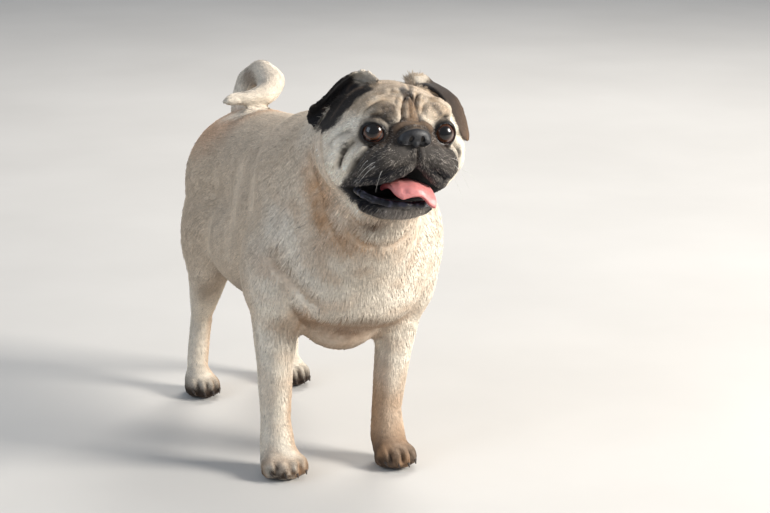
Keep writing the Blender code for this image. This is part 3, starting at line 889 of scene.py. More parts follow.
# Soft marks and painted shade of the trunk, measured from the paws' middle: (centre, radii, colour, amount)
BODY_MARKS_AND_SHADE = [
    # Painted shade: tan in the folds of the neck's right side, then under the neck's roll
    ((-0.0320, -0.1850, 0.2680), (0.013, 0.024, 0.042), TAN, 0.68),
    ((-0.0380, -0.1780, 0.2900), (0.012, 0.020, 0.026), TAN, 0.60),
    ((-0.0200, -0.2030, 0.2420), (0.018, 0.020, 0.010), TAN, 0.65),
    ((0.0030, -0.2050, 0.2320), (0.036, 0.022, 0.009), TAN, 0.42),
    # Painted shadow under the chin
    ((0.0030, -0.2240, 0.2570), (0.026, 0.018, 0.009), MASK_BROWN, 0.75),
    # Painted shade in the right shoulder's fold and the armpit
    ((-0.0600, -0.1400, 0.2080), (0.016, 0.025, 0.012), TAN, 0.35),
    ((-0.0400, -0.1360, 0.1480), (0.020, 0.030, 0.014), TAN, 0.50),
    # Painted shade under the breast
    ((0.0040, -0.1600, 0.1340), (0.043, 0.045, 0.018), HOLLOW_SHADE, 0.95),
    ((-0.0800, 0.0900, 0.2200), (0.030, 0.050, 0.060), CROWN, 0.25),
    # Painted shade in the opening of the tail's curl
    ((0.0000, 0.1525, 0.3265), (0.0100, 0.0100, 0.0090), MASK_BROWN * 1.3, 0.90),
]


# Marks of the head: (centre, radii, colour, amount)
HEAD_MARKS_AND_SHADE = [
    ((0.0250, -0.050, 0.0250), (0.0125, 0.020, 0.0075), CROWN, 0.75),
    # The right brow pad's grey, painted darker than the left as shade
    ((-0.0235, -0.050, 0.0235), (0.0125, 0.020, 0.0085), CROWN * 0.70, 0.85),
    # Painted shadow under the right ear's flap
    ((-0.0560, 0.0300, 0.0110), (0.0110, 0.0130, 0.0110), MASK_BROWN * 0.6, 0.85),
]


def mixed(base, colour, amount):
    return base + (colour - base) * np.clip(amount, 0, 1)[:, None]


def eye_ring(local, name):
    """Distance from an eye's opening, over its size: 1 at the lids' edge."""
    side = SIDES[name]
    out = unit(OPENING[name])
    across = unit(np.cross(out, (0, 0, 1)))
    up = np.cross(across, out)
    q = local - eye_centre(side)
    ring = np.sqrt((q @ across / EYE_OPEN_WIDE) ** 2 + ((q @ up - EYE_OPEN_LIFT[name]) / EYE_OPEN_HIGH[name]) ** 2)
    return np.where(q @ out > 0, ring, 9)


def from_lower_lip(local):
    """Distance to the line inside the lower lip's roll."""
    line, _ = curve(LOWER_LIP, 0.001)
    return nearest_on(line, local)[0]


def muzzle_mask(local):
    wobble = ripples(local, 0.014, 3) * 0.0018
    half = np.interp(local[:, 2], MASK_Z, MASK_X)
    inside = 1 - smooth_step(-0.0015, 0.0025, np.abs(local[:, 0]) - half + wobble)
    inside *= smooth_step(-0.090, -0.084, local[:, 2])
    back = np.interp(local[:, 2], (-0.08, -0.05, 0), (-0.024, -0.018, -0.030))
    return inside * (1 - smooth_step(-0.006, 0.004, local[:, 1] - back))


def markings_and_shade(points, normals, shade, ear, local):
    """(colour with its marks, painted shade and painted light, chance of a grey hair, bareness) on the skin; local is
    where its points were before the folds.
    """
    body = points - PAWS_AT
    x, y, z = body.T
    colour = np.tile(FAWN, (len(points), 1))
    top = smooth_step(0.2, 0.8, normals[:, 2])
    colour = mixed(colour, CROUP, top * smooth_step(0.05, 0.12, y) * smooth_step(0.20, 0.26, z))
    front = smooth_step(0.0, 0.6, -normals[:, 1]) * (1 - smooth_step(-0.11, -0.05, y))
    colour = mixed(colour, CREAM, front * 0.9)
    colour = mixed(colour, CREAM, (1 - smooth_step(0.09, 0.17, z)) * 0.75)
    # Painted shade on the trunk's downward-facing underside
    under = smooth_step(0.3, 0.85, -normals[:, 2]) * smooth_step(0.09, 0.12, z) * (1 - smooth_step(0.20, 0.23, z))
    colour = mixed(colour, UNDERSIDE_SHADE, under * 0.8)
    tail_line, _ = curve(from_paws(TAIL_PATH), 0.003)
    tail, _ = nearest_on(tail_line, points)
    off_tail = smooth_step(0.016, 0.026, tail)
    colour = mixed(colour, CREAM, (1 - off_tail) * smooth_step(0.284, 0.302, z) * 0.85)
    # The legs' brown and the toes
    left_fore = (1 - smooth_step(-0.03, 0.0, y)) * smooth_step(0.0, 0.02, x)
    colour = mixed(colour, TAN, left_fore * (1 - smooth_step(0.050, 0.105, z)) * 0.55)
    # Painted shade on the lower legs' inner sides, where they face each other
    inner = smooth_step(0.1, 0.8, np.sign(-x) * normals[:, 0]) * (1 - smooth_step(0.07, 0.12, z))
    colour = mixed(colour, TAN, inner * 0.55)
    colour = mixed(colour, MASK_BROWN, left_fore * (1 - smooth_step(0.022, 0.040, z)) * 0.55)
    patches = smooth_step(-0.35, 0.45, ripples(points, 0.009, 5))
    toes = (1 - smooth_step(0.009, 0.024, z)) * np.where(y > 0, 1.0, 0.50 + 0.50 * patches)
    colour = mixed(colour, TOES, toes)
    mark = (((body - WRIST_MARK[0]) / WRIST_MARK[1]) ** 2).sum(1)
    colour = mixed(colour, CROWN, np.exp(-mark) * 0.8)
    # The head
    skull = 1 - smooth_step(0.072, 0.100, np.linalg.norm(local, axis=1))
    crown = skull * smooth_step(0.008, 0.034, local[:, 2])
    colour = mixed(colour, CROWN, crown * (0.72 + 0.28 * ripples(local, 0.011, 6)))
    cheek = skull * (1 - smooth_step(0.005, 0.030, local[:, 2])) * smooth_step(0.02, 0.045, np.abs(local[:, 0]))
    colour = mixed(colour, CREAM, cheek * 0.45)
    throat = (1 - smooth_step(0.045, 0.110, np.abs(local[:, 1] - 0.02))) * (1 - smooth_step(-0.07, -0.05, local[:, 2]))
    colour = mixed(colour, TAN, throat * smooth_step(-0.4, 0.7, ripples(points, 0.03, 9)) * 0.35 * (y < -0.05))
    for centre, radii, tint, amount in BODY_MARKS_AND_SHADE:
        spot = (((body - centre) / radii) ** 2).sum(1)
        colour = mixed(colour, tint, np.exp(-spot) * (amount + 0.25 * ripples(points, 0.012, 15)))
    for centre, radii, tint, amount in HEAD_MARKS_AND_SHADE:
        spot = (((local - centre) / radii) ** 2).sum(1)
        colour = mixed(colour, tint, np.exp(-(spot**1.5)) * (amount + 0.25 * ripples(local, 0.005, 23)))
    # Painted shade: tan along the wide folds of the cheeks and neck
    folds = [crease for crease in FACE_CREASES if crease[2] > WIDE_CREASE]
    for side in (local, local * MIRROR):
        for near, distance, fade, _ in profiles(side, folds):
            tint = np.zeros(len(points))
            tint[near] = fade * np.exp(-((distance / 1.7) ** 2)) * 0.55
            colour = mixed(colour, TAN, tint)
    mask = muzzle_mask(local)
    grey = 0.006 * off_tail + mask * (0.20 + 0.16 * ripples(local, 0.007, 7))
    chin = np.exp(-(((local - (-0.002, -0.057, -0.0640)) / (0.020, 0.02, 0.0080)) ** 2).sum(1))
    grey += 0.85 * chin
    colour = mixed(colour, mixed(np.tile(MASK, (len(points), 1)), CHIN, chin * 0.8), mask * 0.96)
    for side in (local, local * MIRROR):
        for near, distance, fade, _ in profiles(side, ROLLS[:1]):
            roll = np.zeros(len(points))
            roll[near] = fade**0.5 * np.exp(-((distance / 1.05) ** 2))
            colour = mixed(colour, ROLL_TINT, roll * 0.85)
    bridge = np.exp(-(((local - (0.001, -0.058, 0.027)) / (0.006, 0.02, 0.012)) ** 2).sum(1))
    colour = mixed(colour, BRIDGE_TINT, bridge * 0.7)
    # Dark ground from the eyes down to the nose, and round the lids
    for name, side in SIDES.items():
        ring = eye_ring(local, name)
        inner_corner = np.exp(-(((local - (side * 0.024, -0.056, 0.004)) / (0.009, 0.02, 0.0065)) ** 2).sum(1))
        colour = mixed(colour, MASK_BROWN * 0.5, inner_corner * 0.85)
        below = np.exp(-(((local - (side * 0.044, -0.046, 0.000)) / (0.008, 0.02, 0.0080)) ** 2).sum(1))
        colour = mixed(colour, MASK_BROWN * 0.8, below * 0.55)
        above = smooth_step(-0.3, 0.9, (local[:, 2] - EYE_AT[2] - side * 0.5 * (local[:, 0] - side * EYE_AT[0])) / 0.012)
        haze = 1 - smooth_step(1.25, 1.70 + 0.45 * above, ring + 0.12 * ripples(local, 0.006, 11))
        colour = mixed(colour, MASK * 1.2, haze * 0.80)
        colour = mixed(colour, LID, 1 - smooth_step(1.22, 1.42, ring))
    for near, distance, fade, _ in profiles(local, BROW_MARKS):
        amount = np.zeros(len(points))
        mottle = smooth_step(-0.9, 0.5, ripples(local[near], 0.0045, 12))
        amount[near] = fade * np.exp(-((distance / 1.1) ** 4)) * (0.35 + 0.65 * mottle)
        colour = mixed(colour, MASK, amount * 0.90)
        grey += amount * 0.15
    # Ears: pale where they leave the skull, then black velvet, with painted light on the side of each ear facing
    # outwards and a painted sheen on the right ear
    # Black velvet and painted shade inside the folded ear
    line, _ = curve(EAR_INSIDE_AND_SHADE, 0.002)
    inside, _ = nearest_on(line * (1, 0.4, 1), local * (1, 0.4, 1))
    inside += 0.02 * smooth_step(0.018, 0.028, np.abs(local[:, 1] + 0.004))
    edge = EAR_INSIDE_AND_SHADE_WIDTH + 0.0015 * ripples(local, 0.009, 14)
    colour = mixed(colour, VELVET, (1 - smooth_step(-0.0020, 0.0015, inside - edge)) * 0.97)
    for name, side in SIDES.items():
        from_base = np.linalg.norm(local - EAR_BASE[name], axis=1)
        dark = smooth_step(0.0085, 0.0150, from_base + 0.0025 * ripples(local, 0.012, 13))
        on_ear = ear[name]
        # Painted light: the side of the ear facing outwards is lighter, and the right ear carries a painted sheen
        lit = smooth_step(-0.2, 0.6, (normals @ HEAD_TURN)[:, 0] * side)
        inner_part = 1 - smooth_step(0.050, 0.066, local[:, 0])
        sheen = 0.5 * smooth_step(-0.2, 1.2, ripples(local, 0.010, 18))[:, None]
        tone = VELVET + (FLAP - VELVET) * (sheen if name == "right" else 1 - 0.6 * inner_part[:, None])
        sideways = (normals @ HEAD_TURN)[:, 0]
        rim = smooth_step(0.0655, 0.0705, local[:, 0]) * (1 - smooth_step(0.45, 0.85, sideways)) * 0.80
        colour = mixed(colour, CREAM, on_ear * (1 - dark) * 0.6)
        colour = mixed(colour, mixed(np.tile(VELVET, (len(points), 1)), tone, lit), on_ear * dark)
        colour = mixed(colour, TAN, on_ear * dark * rim)
    # Painted highlight along the ridge across the folded ear
    line, _ = curve(EAR_RIDGE, 0.001)
    ridge, _ = nearest_on(line, local)
    colour = mixed(colour, EAR_RIDGE_HIGHLIGHT, np.exp(-((ridge / EAR_RIDGE_WIDTH) ** 2)) * 0.85)
    # Painted shade along the creases of the face, trunk and toes
    colour = mixed(colour, CREASE_SHADE, np.clip(shade * 1.45, 0, 1) * 0.94)
    # The mouth's walls are bare and dark, and the lips' edges are wet
    mouth = in_mouth(local)
    near_mouth = skull * (local[:, 1] < -0.005)
    lip = near_mouth * (1 - smooth_step(0.0034, 0.0065, mouth)) * (local[:, 2] < -0.02)
    colour = mixed(colour, LIP, lip)
    cavity = near_mouth * (1 - smooth_step(0.0008, 0.0024, mouth))
    colour = mixed(colour, MOUTH, cavity)
    # Painted wet reflection: blue-grey mottling over the dark gum behind the lower lip
    gum_and_reflection = cavity * (1 - smooth_step(0.0060, 0.0110, from_lower_lip(local))) * (local[:, 2] < -0.040)
    colour = mixed(colour, GUM_AND_REFLECTION, gum_and_reflection * smooth_step(-0.5, 0.7, ripples(local, 0.0045, 16)))
    roll = 1 - smooth_step(LIP_RADIUS + 0.0004, LIP_RADIUS + 0.0016, from_lower_lip(local))
    roll *= local[:, 2] > LIP_FOOT_Z - 0.10 * np.abs(local[:, 0])
    # Painted wet reflection mottling the lower lip's roll
    colour = mixed(colour, mixed(np.tile(LIP, (len(points), 1)), GUM_AND_REFLECTION, smooth_step(-0.2, 1.0, ripples(local, 0.006, 17))), roll)
    bare = np.maximum(cavity, roll)
    for name in SIDES:
        bare = np.maximum(bare, 1 - smooth_step(1.16, 1.30, eye_ring(local, name)))
    bed = (((local - NOSE_CENTRE) / NOSE_BED) ** 2).sum(1)
    bare = np.maximum(bare, bed < 1)
    bare = np.maximum(bare, (z < 0.004) & (normals[:, 2] < -0.6))
    colour *= (1 + 0.05 * ripples(points * (1, 1, 0.45), 0.030, 21) + 0.04 * ripples(points, 0.012, 22))[:, None]
    return np.clip(colour, 0.002, 0.95), np.clip(grey, 0, 0.8), bare


NOSE_CENTRE = np.array((0.0003, -0.0640, 0.0047))
NOSE_BED = np.array((0.0160, 0.0120, 0.0085))


def paint(mesh, name, colour):
    """Stores one colour for each vertex."""
    layer = mesh.attributes.new(name, "FLOAT_COLOR", "POINT")
    layer.data.foreach_set("color", np.hstack([colour, np.ones((len(colour), 1))]).astype(np.float32).ravel())


def store(mesh, name, values):
    layer = mesh.attributes.new(name, "FLOAT", "POINT")
    layer.data.foreach_set("value", values.astype(np.float32))


# Materials


def new_material(name):
    """(material, its nodes' maker, its Principled shader)."""
    found = bpy.data.materials.new(name)
    found.use_nodes = True
    tree = found.node_tree
    shader = tree.nodes["Principled BSDF"]

    def add(kind, links=None, **settings):
        node = tree.nodes.new(kind)
        for key, value in settings.items():
            if key in node.inputs:
                node.inputs[key].default_value = value
            else:
                setattr(node, key, value)
        for key, socket in (links or {}).items():
            tree.links.new(socket, node.inputs[key])
        return node

    def link(socket, name_or_index):
        tree.links.new(socket, shader.inputs[name_or_index])

    return found, add, link, shader


def coat_material(name, colour_noise, bump, bump_scale, roughness):
    found, add, link, shader = new_material(name)
    place = add("ShaderNodeTexCoord").outputs["Object"]
    paint_node = add("ShaderNodeAttribute", attribute_name="markings_and_shade")
    noise = add("ShaderNodeTexNoise", {"Vector": place}, Scale=colour_noise, Detail=4.0)
    tone = add("ShaderNodeMapRange", {"Value": noise.outputs["Fac"]})
    tone.inputs["From Min"].default_value = 0.3
    tone.inputs["From Max"].default_value = 0.7
    tone.inputs["To Min"].default_value = 0.84
    tone.inputs["To Max"].default_value = 1.14
    scaled = add(
        "ShaderNodeVectorMath", {0: paint_node.outputs["Color"], 3: tone.outputs["Result"]}, operation="SCALE"
    )
    link(scaled.outputs["Vector"], "Base Color")
    fine = add("ShaderNodeTexNoise", {"Vector": place}, Scale=bump_scale, Detail=3.0)
    bumped = add("ShaderNodeBump", {"Height": fine.outputs["Fac"]}, Strength=bump, Distance=0.0006)
    link(bumped.outputs["Normal"], "Normal")
    shader.inputs["Roughness"].default_value = roughness
    shader.inputs["Specular IOR Level"].default_value = 0.25
    shader.inputs["Sheen Weight"].default_value = 0.04
    shader.inputs["Sheen Roughness"].default_value = 0.45
    return found


def skin_material():
    """As the coat, but wet where the attribute says so."""
    found = coat_material("skin", 260, 0.55, 900, 0.7)
    tree = found.node_tree
    wet = tree.nodes.new("ShaderNodeAttribute")
    wet.attribute_name = "wet"
    rough = tree.nodes.new("ShaderNodeMapRange")
    rough.inputs["To Min"].default_value = 0.72
    rough.inputs["To Max"].default_value = 0.22
    tree.links.new(wet.outputs["Fac"], rough.inputs["Value"])
    tree.links.new(rough.outputs["Result"], tree.nodes["Principled BSDF"].inputs["Roughness"])
    return found


def eye_material():
    """Pupil, iris and dark white of the eye, by the distance from the gaze axis in millimetres."""
    found, add, link, shader = new_material("eye")
    place = add("ShaderNodeTexCoord").outputs["Object"]
    split = add("ShaderNodeSeparateXYZ", {"Vector": place})
    flat = add("ShaderNodeCombineXYZ", {"X": split.outputs["X"], "Y": split.outputs["Y"]})
    from_axis = add("ShaderNodeVectorMath", {0: flat.outputs["Vector"]}, operation="LENGTH")
    angle = add("ShaderNodeMath", {0: split.outputs["Y"], 1: split.outputs["X"]}, operation="ARCTAN2")
    spokes = add("ShaderNodeTexNoise", {"W": angle.outputs["Value"]}, noise_dimensions="1D", Scale=9.0, Detail=3.0)
    wavy = add("ShaderNodeMath", {0: spokes.outputs["Fac"]}, operation="MULTIPLY_ADD")
    wavy.inputs[1].default_value = 0.0010
    wavy.inputs[2].default_value = -0.0005
    radius = add("ShaderNodeMath", {0: from_axis.outputs["Value"], 1: wavy.outputs["Value"]}, operation="ADD")
    scaled = add("ShaderNodeMath", {0: radius.outputs["Value"]}, operation="MULTIPLY")
    scaled.inputs[1].default_value = 1 / EYE_RADIUS
    ramp = add("ShaderNodeValToRGB", {"Fac": scaled.outputs["Value"]})
    stops = [
        (0.00, linear(0.02, 0.018, 0.02)),
        (0.43, linear(0.03, 0.022, 0.02)),
        (0.49, linear(0.12, 0.065, 0.04)),
        (0.57, linear(0.27, 0.155, 0.09)),
        (0.66, linear(0.36, 0.21, 0.125)),
        (0.71, linear(0.12, 0.07, 0.05)),
        (0.76, linear(0.08, 0.05, 0.045)),
        (0.88, linear(0.42, 0.26, 0.22)),
        (1.00, linear(0.26, 0.16, 0.15)),
    ]
    points_on_ramp = ramp.color_ramp.elements
    while len(points_on_ramp) < len(stops):
        points_on_ramp.new(0.5)
    for element, (at, colour) in zip(points_on_ramp, stops):
        element.position = at
        element.color = (*colour, 1)
    link(ramp.outputs["Color"], "Base Color")
    shader.inputs["Roughness"].default_value = 0.25
    shader.inputs["Specular IOR Level"].default_value = 0.2
    shader.inputs["Coat Weight"].default_value = 0.8
    shader.inputs["Coat Roughness"].default_value = 0.02
    return found


def leather_material():
    found, add, link, shader = new_material("nose_leather")
    place = add("ShaderNodeTexCoord").outputs["Object"]
    pebble = add("ShaderNodeTexVoronoi", {"Vector": place}, Scale=950.0)
    noise = add("ShaderNodeTexNoise", {"Vector": place}, Scale=300.0, Detail=3.0)
    tone = add("ShaderNodeValToRGB", {"Fac": noise.outputs["Fac"]})
    tone.color_ramp.elements[0].position = 0.3
    tone.color_ramp.elements[0].color = (*linear(0.050, 0.052, 0.065), 1)
    tone.color_ramp.elements[1].position = 0.75
    tone.color_ramp.elements[1].color = (*linear(0.115, 0.12, 0.145), 1)
    link(tone.outputs["Color"], "Base Color")
    bumped = add("ShaderNodeBump", {"Height": pebble.outputs["Distance"]}, Strength=0.5, Distance=0.0004, invert=True)
    link(bumped.outputs["Normal"], "Normal")
    shader.inputs["Roughness"].default_value = 0.52
    shader.inputs["Coat Weight"].default_value = 0.12
    shader.inputs["Coat Roughness"].default_value = 0.3
    return found


def tongue_material():
    found, add, link, shader = new_material("tongue")
    place = add("ShaderNodeTexCoord").outputs["Object"]
    paint_node = add("ShaderNodeAttribute", attribute_name="markings_and_shade")
    buds = add("ShaderNodeTexVoronoi", {"Vector": place}, Scale=900.0)
    noise = add("ShaderNodeTexNoise", {"Vector": place}, Scale=220.0, Detail=3.0)
    tone = add("ShaderNodeMapRange", {"Value": noise.outputs["Fac"]})
    tone.inputs["To Min"].default_value = 0.85
    tone.inputs["To Max"].default_value = 1.15
    scaled = add(
        "ShaderNodeVectorMath", {0: paint_node.outputs["Color"], 3: tone.outputs["Result"]}, operation="SCALE"
    )
    link(scaled.outputs["Vector"], "Base Color")
    bumped = add("ShaderNodeBump", {"Height": buds.outputs["Distance"]}, Strength=0.3, Distance=0.0003, invert=True)
    link(bumped.outputs["Normal"], "Normal")
    shader.inputs["Roughness"].default_value = 0.50
    shader.inputs["Subsurface Weight"].default_value = 0.15
    shader.inputs["Subsurface Radius"].default_value = (0.004, 0.0015, 0.001)
    shader.inputs["Coat Weight"].default_value = 0.12
    shader.inputs["Coat Roughness"].default_value = 0.2
    return found


def plain_material(name, dark, light, scale, roughness, bump=0.2):
    """Two close colours mixed by noise, with a little bump."""
    found, add, link, shader = new_material(name)
    place = add("ShaderNodeTexCoord").outputs["Object"]
    noise = add("ShaderNodeTexNoise", {"Vector": place}, Scale=scale, Detail=5.0)
    tone = add("ShaderNodeValToRGB", {"Fac": noise.outputs["Fac"]})
    tone.color_ramp.elements[0].position = 0.3
    tone.color_ramp.elements[0].color = (*dark, 1)
    tone.color_ramp.elements[1].position = 0.7
    tone.color_ramp.elements[1].color = (*light, 1)
    link(tone.outputs["Color"], "Base Color")
    bumped = add("ShaderNodeBump", {"Height": noise.outputs["Fac"]}, Strength=bump, Distance=0.0004)
    link(bumped.outputs["Normal"], "Normal")
    shader.inputs["Roughness"].default_value = roughness
    return found


# The skin


def ear_amounts(points):
    """For each ear, 1 on its flap and 0 on the skull."""
    found = {}
    skull = search_tree(["head", "neck"])
    for name in SIDES:
        amount = np.zeros(len(points))
        low, high = (np.array(corner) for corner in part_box("ear_" + name))
        near = np.flatnonzero(((points > low - 0.004) & (points < high + 0.004)).all(1))
        to_ear = distance_to(search_tree(["ear_" + name]), points[near], 0.01)
        to_skull = distance_to(skull, points[near], 0.01)
        amount[near] = 1 - smooth_step(-0.0008, 0.0012, to_ear - to_skull + 0.0005)
        found[name] = amount
    return found


field, axes = skin_field()
points, triangles, quads = surface(field, axes)
print("skin", len(points), len(triangles), len(quads), flush=True)
skin = mesh_object("skin", points, [triangles, quads])
points, normals = vertex_arrays(skin.data)
ear = ear_amounts(points)
shift, shade = face_relief(in_head(points))
toe_shift, toe_shade = pressed(points - PAWS_AT, toe_creases() + BODY_CREASES)
for mirror in (1, MIRROR):
    toe_shift += pressed((points - PAWS_AT) * mirror, FLANK_CREASES)[0]
hollow_at, hollow_radii, hollow_depth = BREAST_HOLLOW
hollow = (((points - PAWS_AT - hollow_at) / hollow_radii) ** 2).sum(1)
toe_shift -= hollow_depth * np.exp(-(hollow**2))
before_folds = in_head(points)
points += normals * (shift + toe_shift)[:, None]
points[:, 2] = np.maximum(points[:, 2], 0.0004)
skin.data.vertices.foreach_set("co", points.astype(np.float32).ravel())
skin.data.update()
points, normals = vertex_arrays(skin.data)
colour, grey, bare = markings_and_shade(points, normals, np.maximum(shade, toe_shade), ear, before_folds)
paint(skin.data, "markings_and_shade", colour * 0.9)
lip_line = from_lower_lip(in_head(points))
mouth_wet = 1 - smooth_step(LIP_RADIUS + 0.0002, LIP_RADIUS + 0.0020, lip_line)
lids_wet = sum(1 - smooth_step(1.10, 1.25, eye_ring(in_head(points), name)) for name in SIDES)
store(skin.data, "wet", np.clip(mouth_wet + lids_wet, 0, 1))
skin.data.materials.append(skin_material())
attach(skin, BODY)
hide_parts(*FLESH, "ear_left", "ear_right")

# Tufts: closed spindles of six faces, rooted in the skin

DEPTHS = (0.0004, 0.0009, 0.0019, 0.0030, 0.0034)
LENGTHS = (0.0020, 0.0026, 0.0056, 0.0100, 0.0115)
WIDTHS = (0.00042, 0.00044, 0.00066, 0.00082, 0.00086)
COVERS = (2.0, 2.2, 2.4, 2.4, 2.4)
ROOT_SUNK = 0.0004
STRAY = 0.05
HEAD_SPECKLE = 0.17
HEAD_PIECES = ("coat_face", "coat_scalp", "coat_muzzle")
SOFT_SHADING = 0.90
BEND_AT = 0.42
THICKNESS = 0.24
PATCH = 0.003
FACES = np.array([(0, 2, 1), (0, 3, 2), (0, 1, 3), (4, 1, 2), (4, 2, 3), (4, 3, 1)])
PATCH_UV = np.array([(0.0, -0.5), (0.0, 0.1), (-0.5, 0.0), (0.5, 0.0), (0.0, 0.5)]) * PATCH


def read_at(points):
    """The skin's field at some points."""
    place, index, part = [], [], []
    for a in range(3):
        at = np.interp(points[:, a], axes[a], np.arange(len(axes[a])))
        low = np.minimum(at.astype(int), len(axes[a]) - 2)
        index.append(low)
        part.append(at - low)
    total = np.zeros(len(points))
    for corner in range(8):
        bits = [(corner >> a) & 1 for a in range(3)]
        weight = np.ones(len(points))
        for a in range(3):
            weight *= part[a] if bits[a] else 1 - part[a]
        total += weight * field[index[0] + bits[0], index[1] + bits[1], index[2] + bits[2]]
    return total


def coat_flow(points, normals, on_ear):
    """The way the coat lies, along the skin."""
    body = points - PAWS_AT
    local = in_head(points)
    x, y, z = body.T
    flow = np.stack([0 * x, 1 + 0 * x, -0.25 - 0.5 * smooth_step(0.2, 0.9, np.abs(normals[:, 0]))], 1)
    front = smooth_step(0.1, 0.7, -normals[:, 1]) * (1 - smooth_step(-0.10, -0.04, y))
    flow = mixed(flow, np.array((0, 0.15, -1.0)), front)
    flow[:, 0] += front * np.sign(x) * 0.25 * smooth_step(0.0, 0.03, np.abs(x))
    thigh = smooth_step(0.07, 0.12, y) * (1 - smooth_step(0.20, 0.26, z))
    flow = mixed(flow, np.array((0, 0.45, -1.0)), thigh)
    flow = mixed(flow, np.array((0, 0.20, -1.0)), 1 - smooth_step(0.10, 0.17, z))
    under = smooth_step(0.3, 0.8, -normals[:, 2]) * smooth_step(0.060, 0.100, z)
    flow = mixed(flow, np.array((0, 1.0, -0.15)), under)
    paws = 1 - smooth_step(0.018, 0.035, z)
    flow = mixed(flow, np.array((0, -0.9, -0.6)), paws)
    neck = (1 - smooth_step(-0.13, -0.07, y)) * smooth_step(0.20, 0.25, z)
    flow = mixed(flow, np.array((0, 0.60, -0.80)), neck * (1 - front))
    # On the head, away from the nose and down the cheeks
    skull = 1 - smooth_step(0.078, 0.105, np.linalg.norm(local * (1, 0.9, 0.9), axis=1))
    away = unit(local - (0.001, -0.075, 0.006))
    away[:, 2] -= 0.55 * smooth_step(0.02, 0.06, np.abs(local[:, 0])) * (1 - smooth_step(0.02, 0.05, local[:, 2]))
    flow = mixed(flow, away @ HEAD_TURN.T, skull)
    line, _ = curve(from_paws(TAIL_PATH), 0.003)
    distance, index = nearest_on(line, points)
    tail = (distance < TAIL_REACH) & (z > TAIL_FOOT_Z)
    flow[tail] = unit(np.gradient(line, axis=0))[index[tail]]
    for name in SIDES:
        down = np.array((SIDES[name] * 0.75, -0.35, -0.8)) @ HEAD_TURN.T
        flow[on_ear[name] > 0.5] = down
    return flow


def tuft_mesh(name, faces, count, draw, material):
    """One piece of coat on some of the skin's faces."""
    chosen = faces[scatter(tuft_weight[faces], count, draw)]
    corners = quads[chosen]
    u, v = draw.random((2, count))
    shares = np.stack([(1 - u) * (1 - v), u * (1 - v), u * v, (1 - u) * v], 1)

    def at_root(values):
        return (values[corners] * (shares[..., None] if values.ndim == 2 else shares)).sum(1)

    root = at_root(points)
    normal = unit(at_root(normals))
    depth = at_root(depths)
    lie = at_root(flow)
    lie += 0.22 * np.stack([ripples(root, 0.022, seed) for seed in (31, 32, 33)], 1)
    lie += draw.normal(0, 0.13, (count, 3))
    lie = unit(lie - (lie * normal).sum(1, keepdims=True) * normal)
    across = np.cross(normal, lie)
    length = np.interp(depth, DEPTHS, LENGTHS) * draw.uniform(0.7, 1.25, count)
    width = np.interp(depth, DEPTHS, WIDTHS) * draw.uniform(0.75, 1.25, count)
    lift = depth * draw.uniform(0.12, 0.45, count)
    lift *= np.where(draw.random(count) < STRAY, 1.6, 1.0)
    base = read_at(root)
    middle = root + lie * (length * BEND_AT)[:, None]
    middle += normal * (lift * 0.62 - np.clip(read_at(middle) - base, -0.004, 0.004))[:, None]
    tip = root + lie * length[:, None]
    tip += normal * (lift - np.clip(read_at(tip) - base, -0.006, 0.006))[:, None]
    start = root - normal * ROOT_SUNK
    half = (width / 2)[:, None]
    spindle = np.stack(
        [
            start,
            middle + normal * half * 2 * THICKNESS,
            middle - across * half - normal * half * THICKNESS,
            middle + across * half - normal * half * THICKNESS,
            tip,
        ],
        1,
    )
    spindle[..., 2] = np.maximum(spindle[..., 2], 0.0003)
    tone = at_root(colour)
    grizzled = draw.random(count) < at_root(grey)
    tone[grizzled] = tone[grizzled] * 0.35 + SPECKLE * draw.uniform(0.35, 1.0, (grizzled.sum(), 1))
    tone *= np.exp(draw.normal(0, HEAD_SPECKLE if name in HEAD_PIECES else 0.05, (count, 1)) + 0.05 * ripples(root * (1, 0.5, 1), 0.010, 41)[:, None])
    # Painted shade at each tuft's root, and a little painted light at its tip
    along = np.array((0.90, 1.0, 0.98, 0.98, 1.05))[None, :, None]
    tones = np.clip(tone[:, None, :] * along, 0, 0.97)
    numbers = (FACES[None] + 5 * np.arange(count)[:, None, None]).reshape(-1, 3)
    piece = mesh_object(name, spindle.reshape(-1, 3), [numbers])
    paint(piece.data, "markings_and_shade", tones.reshape(-1, 3))
    own = np.stack([0 * normal, normal, -across, across, lie], 1)
    soft = unit(normal[:, None, :] + (1 - SOFT_SHADING) * own * 3)
    shading = piece.data.attributes.new("custom_normal", "FLOAT_VECTOR", "POINT")
    shading.data.foreach_set("vector", soft.reshape(-1, 3).astype(np.float32).ravel())
    spread = PATCH_UV[FACES].reshape(1, -1, 2)
    map_layer = piece.data.uv_layers.new(name="OFBake")
    uv = chart(root, normal)[:, None, :] + spread
    map_layer.data.foreach_set("uv", uv.astype(np.float32).ravel())
    piece.data.materials.append(material)
    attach(piece, BODY)
    return piece


def scatter(weights, count, draw):
    """Numbers of faces, spread evenly by weight."""
    ends = np.cumsum(weights)
    return np.searchsorted(ends, (np.arange(count) + draw.random(count)) / count * ends[-1])


def chart(root, normal):
    """The place of each root on an unwrap of this part of the skin: one chart for each of six directions."""
    size = np.abs(normal)
    axis = size.argmax(1)
    forward = normal[np.arange(len(normal)), axis] > 0
    low, high = root.min(0), root.max(0)
    scaled = (root - low) / (high - low).max()
    uv = np.empty((len(root), 2))
    for a in range(3):
        mine = axis == a
        others = [b for b in range(3) if b != a]
        uv[mine] = scaled[mine][:, others]
        uv[mine, 0] = (uv[mine, 0] * 0.96 + 0.02 + a) / 3
        uv[mine, 1] = (uv[mine, 1] * 0.96 + 0.02 + forward[mine]) / 2
    return uv


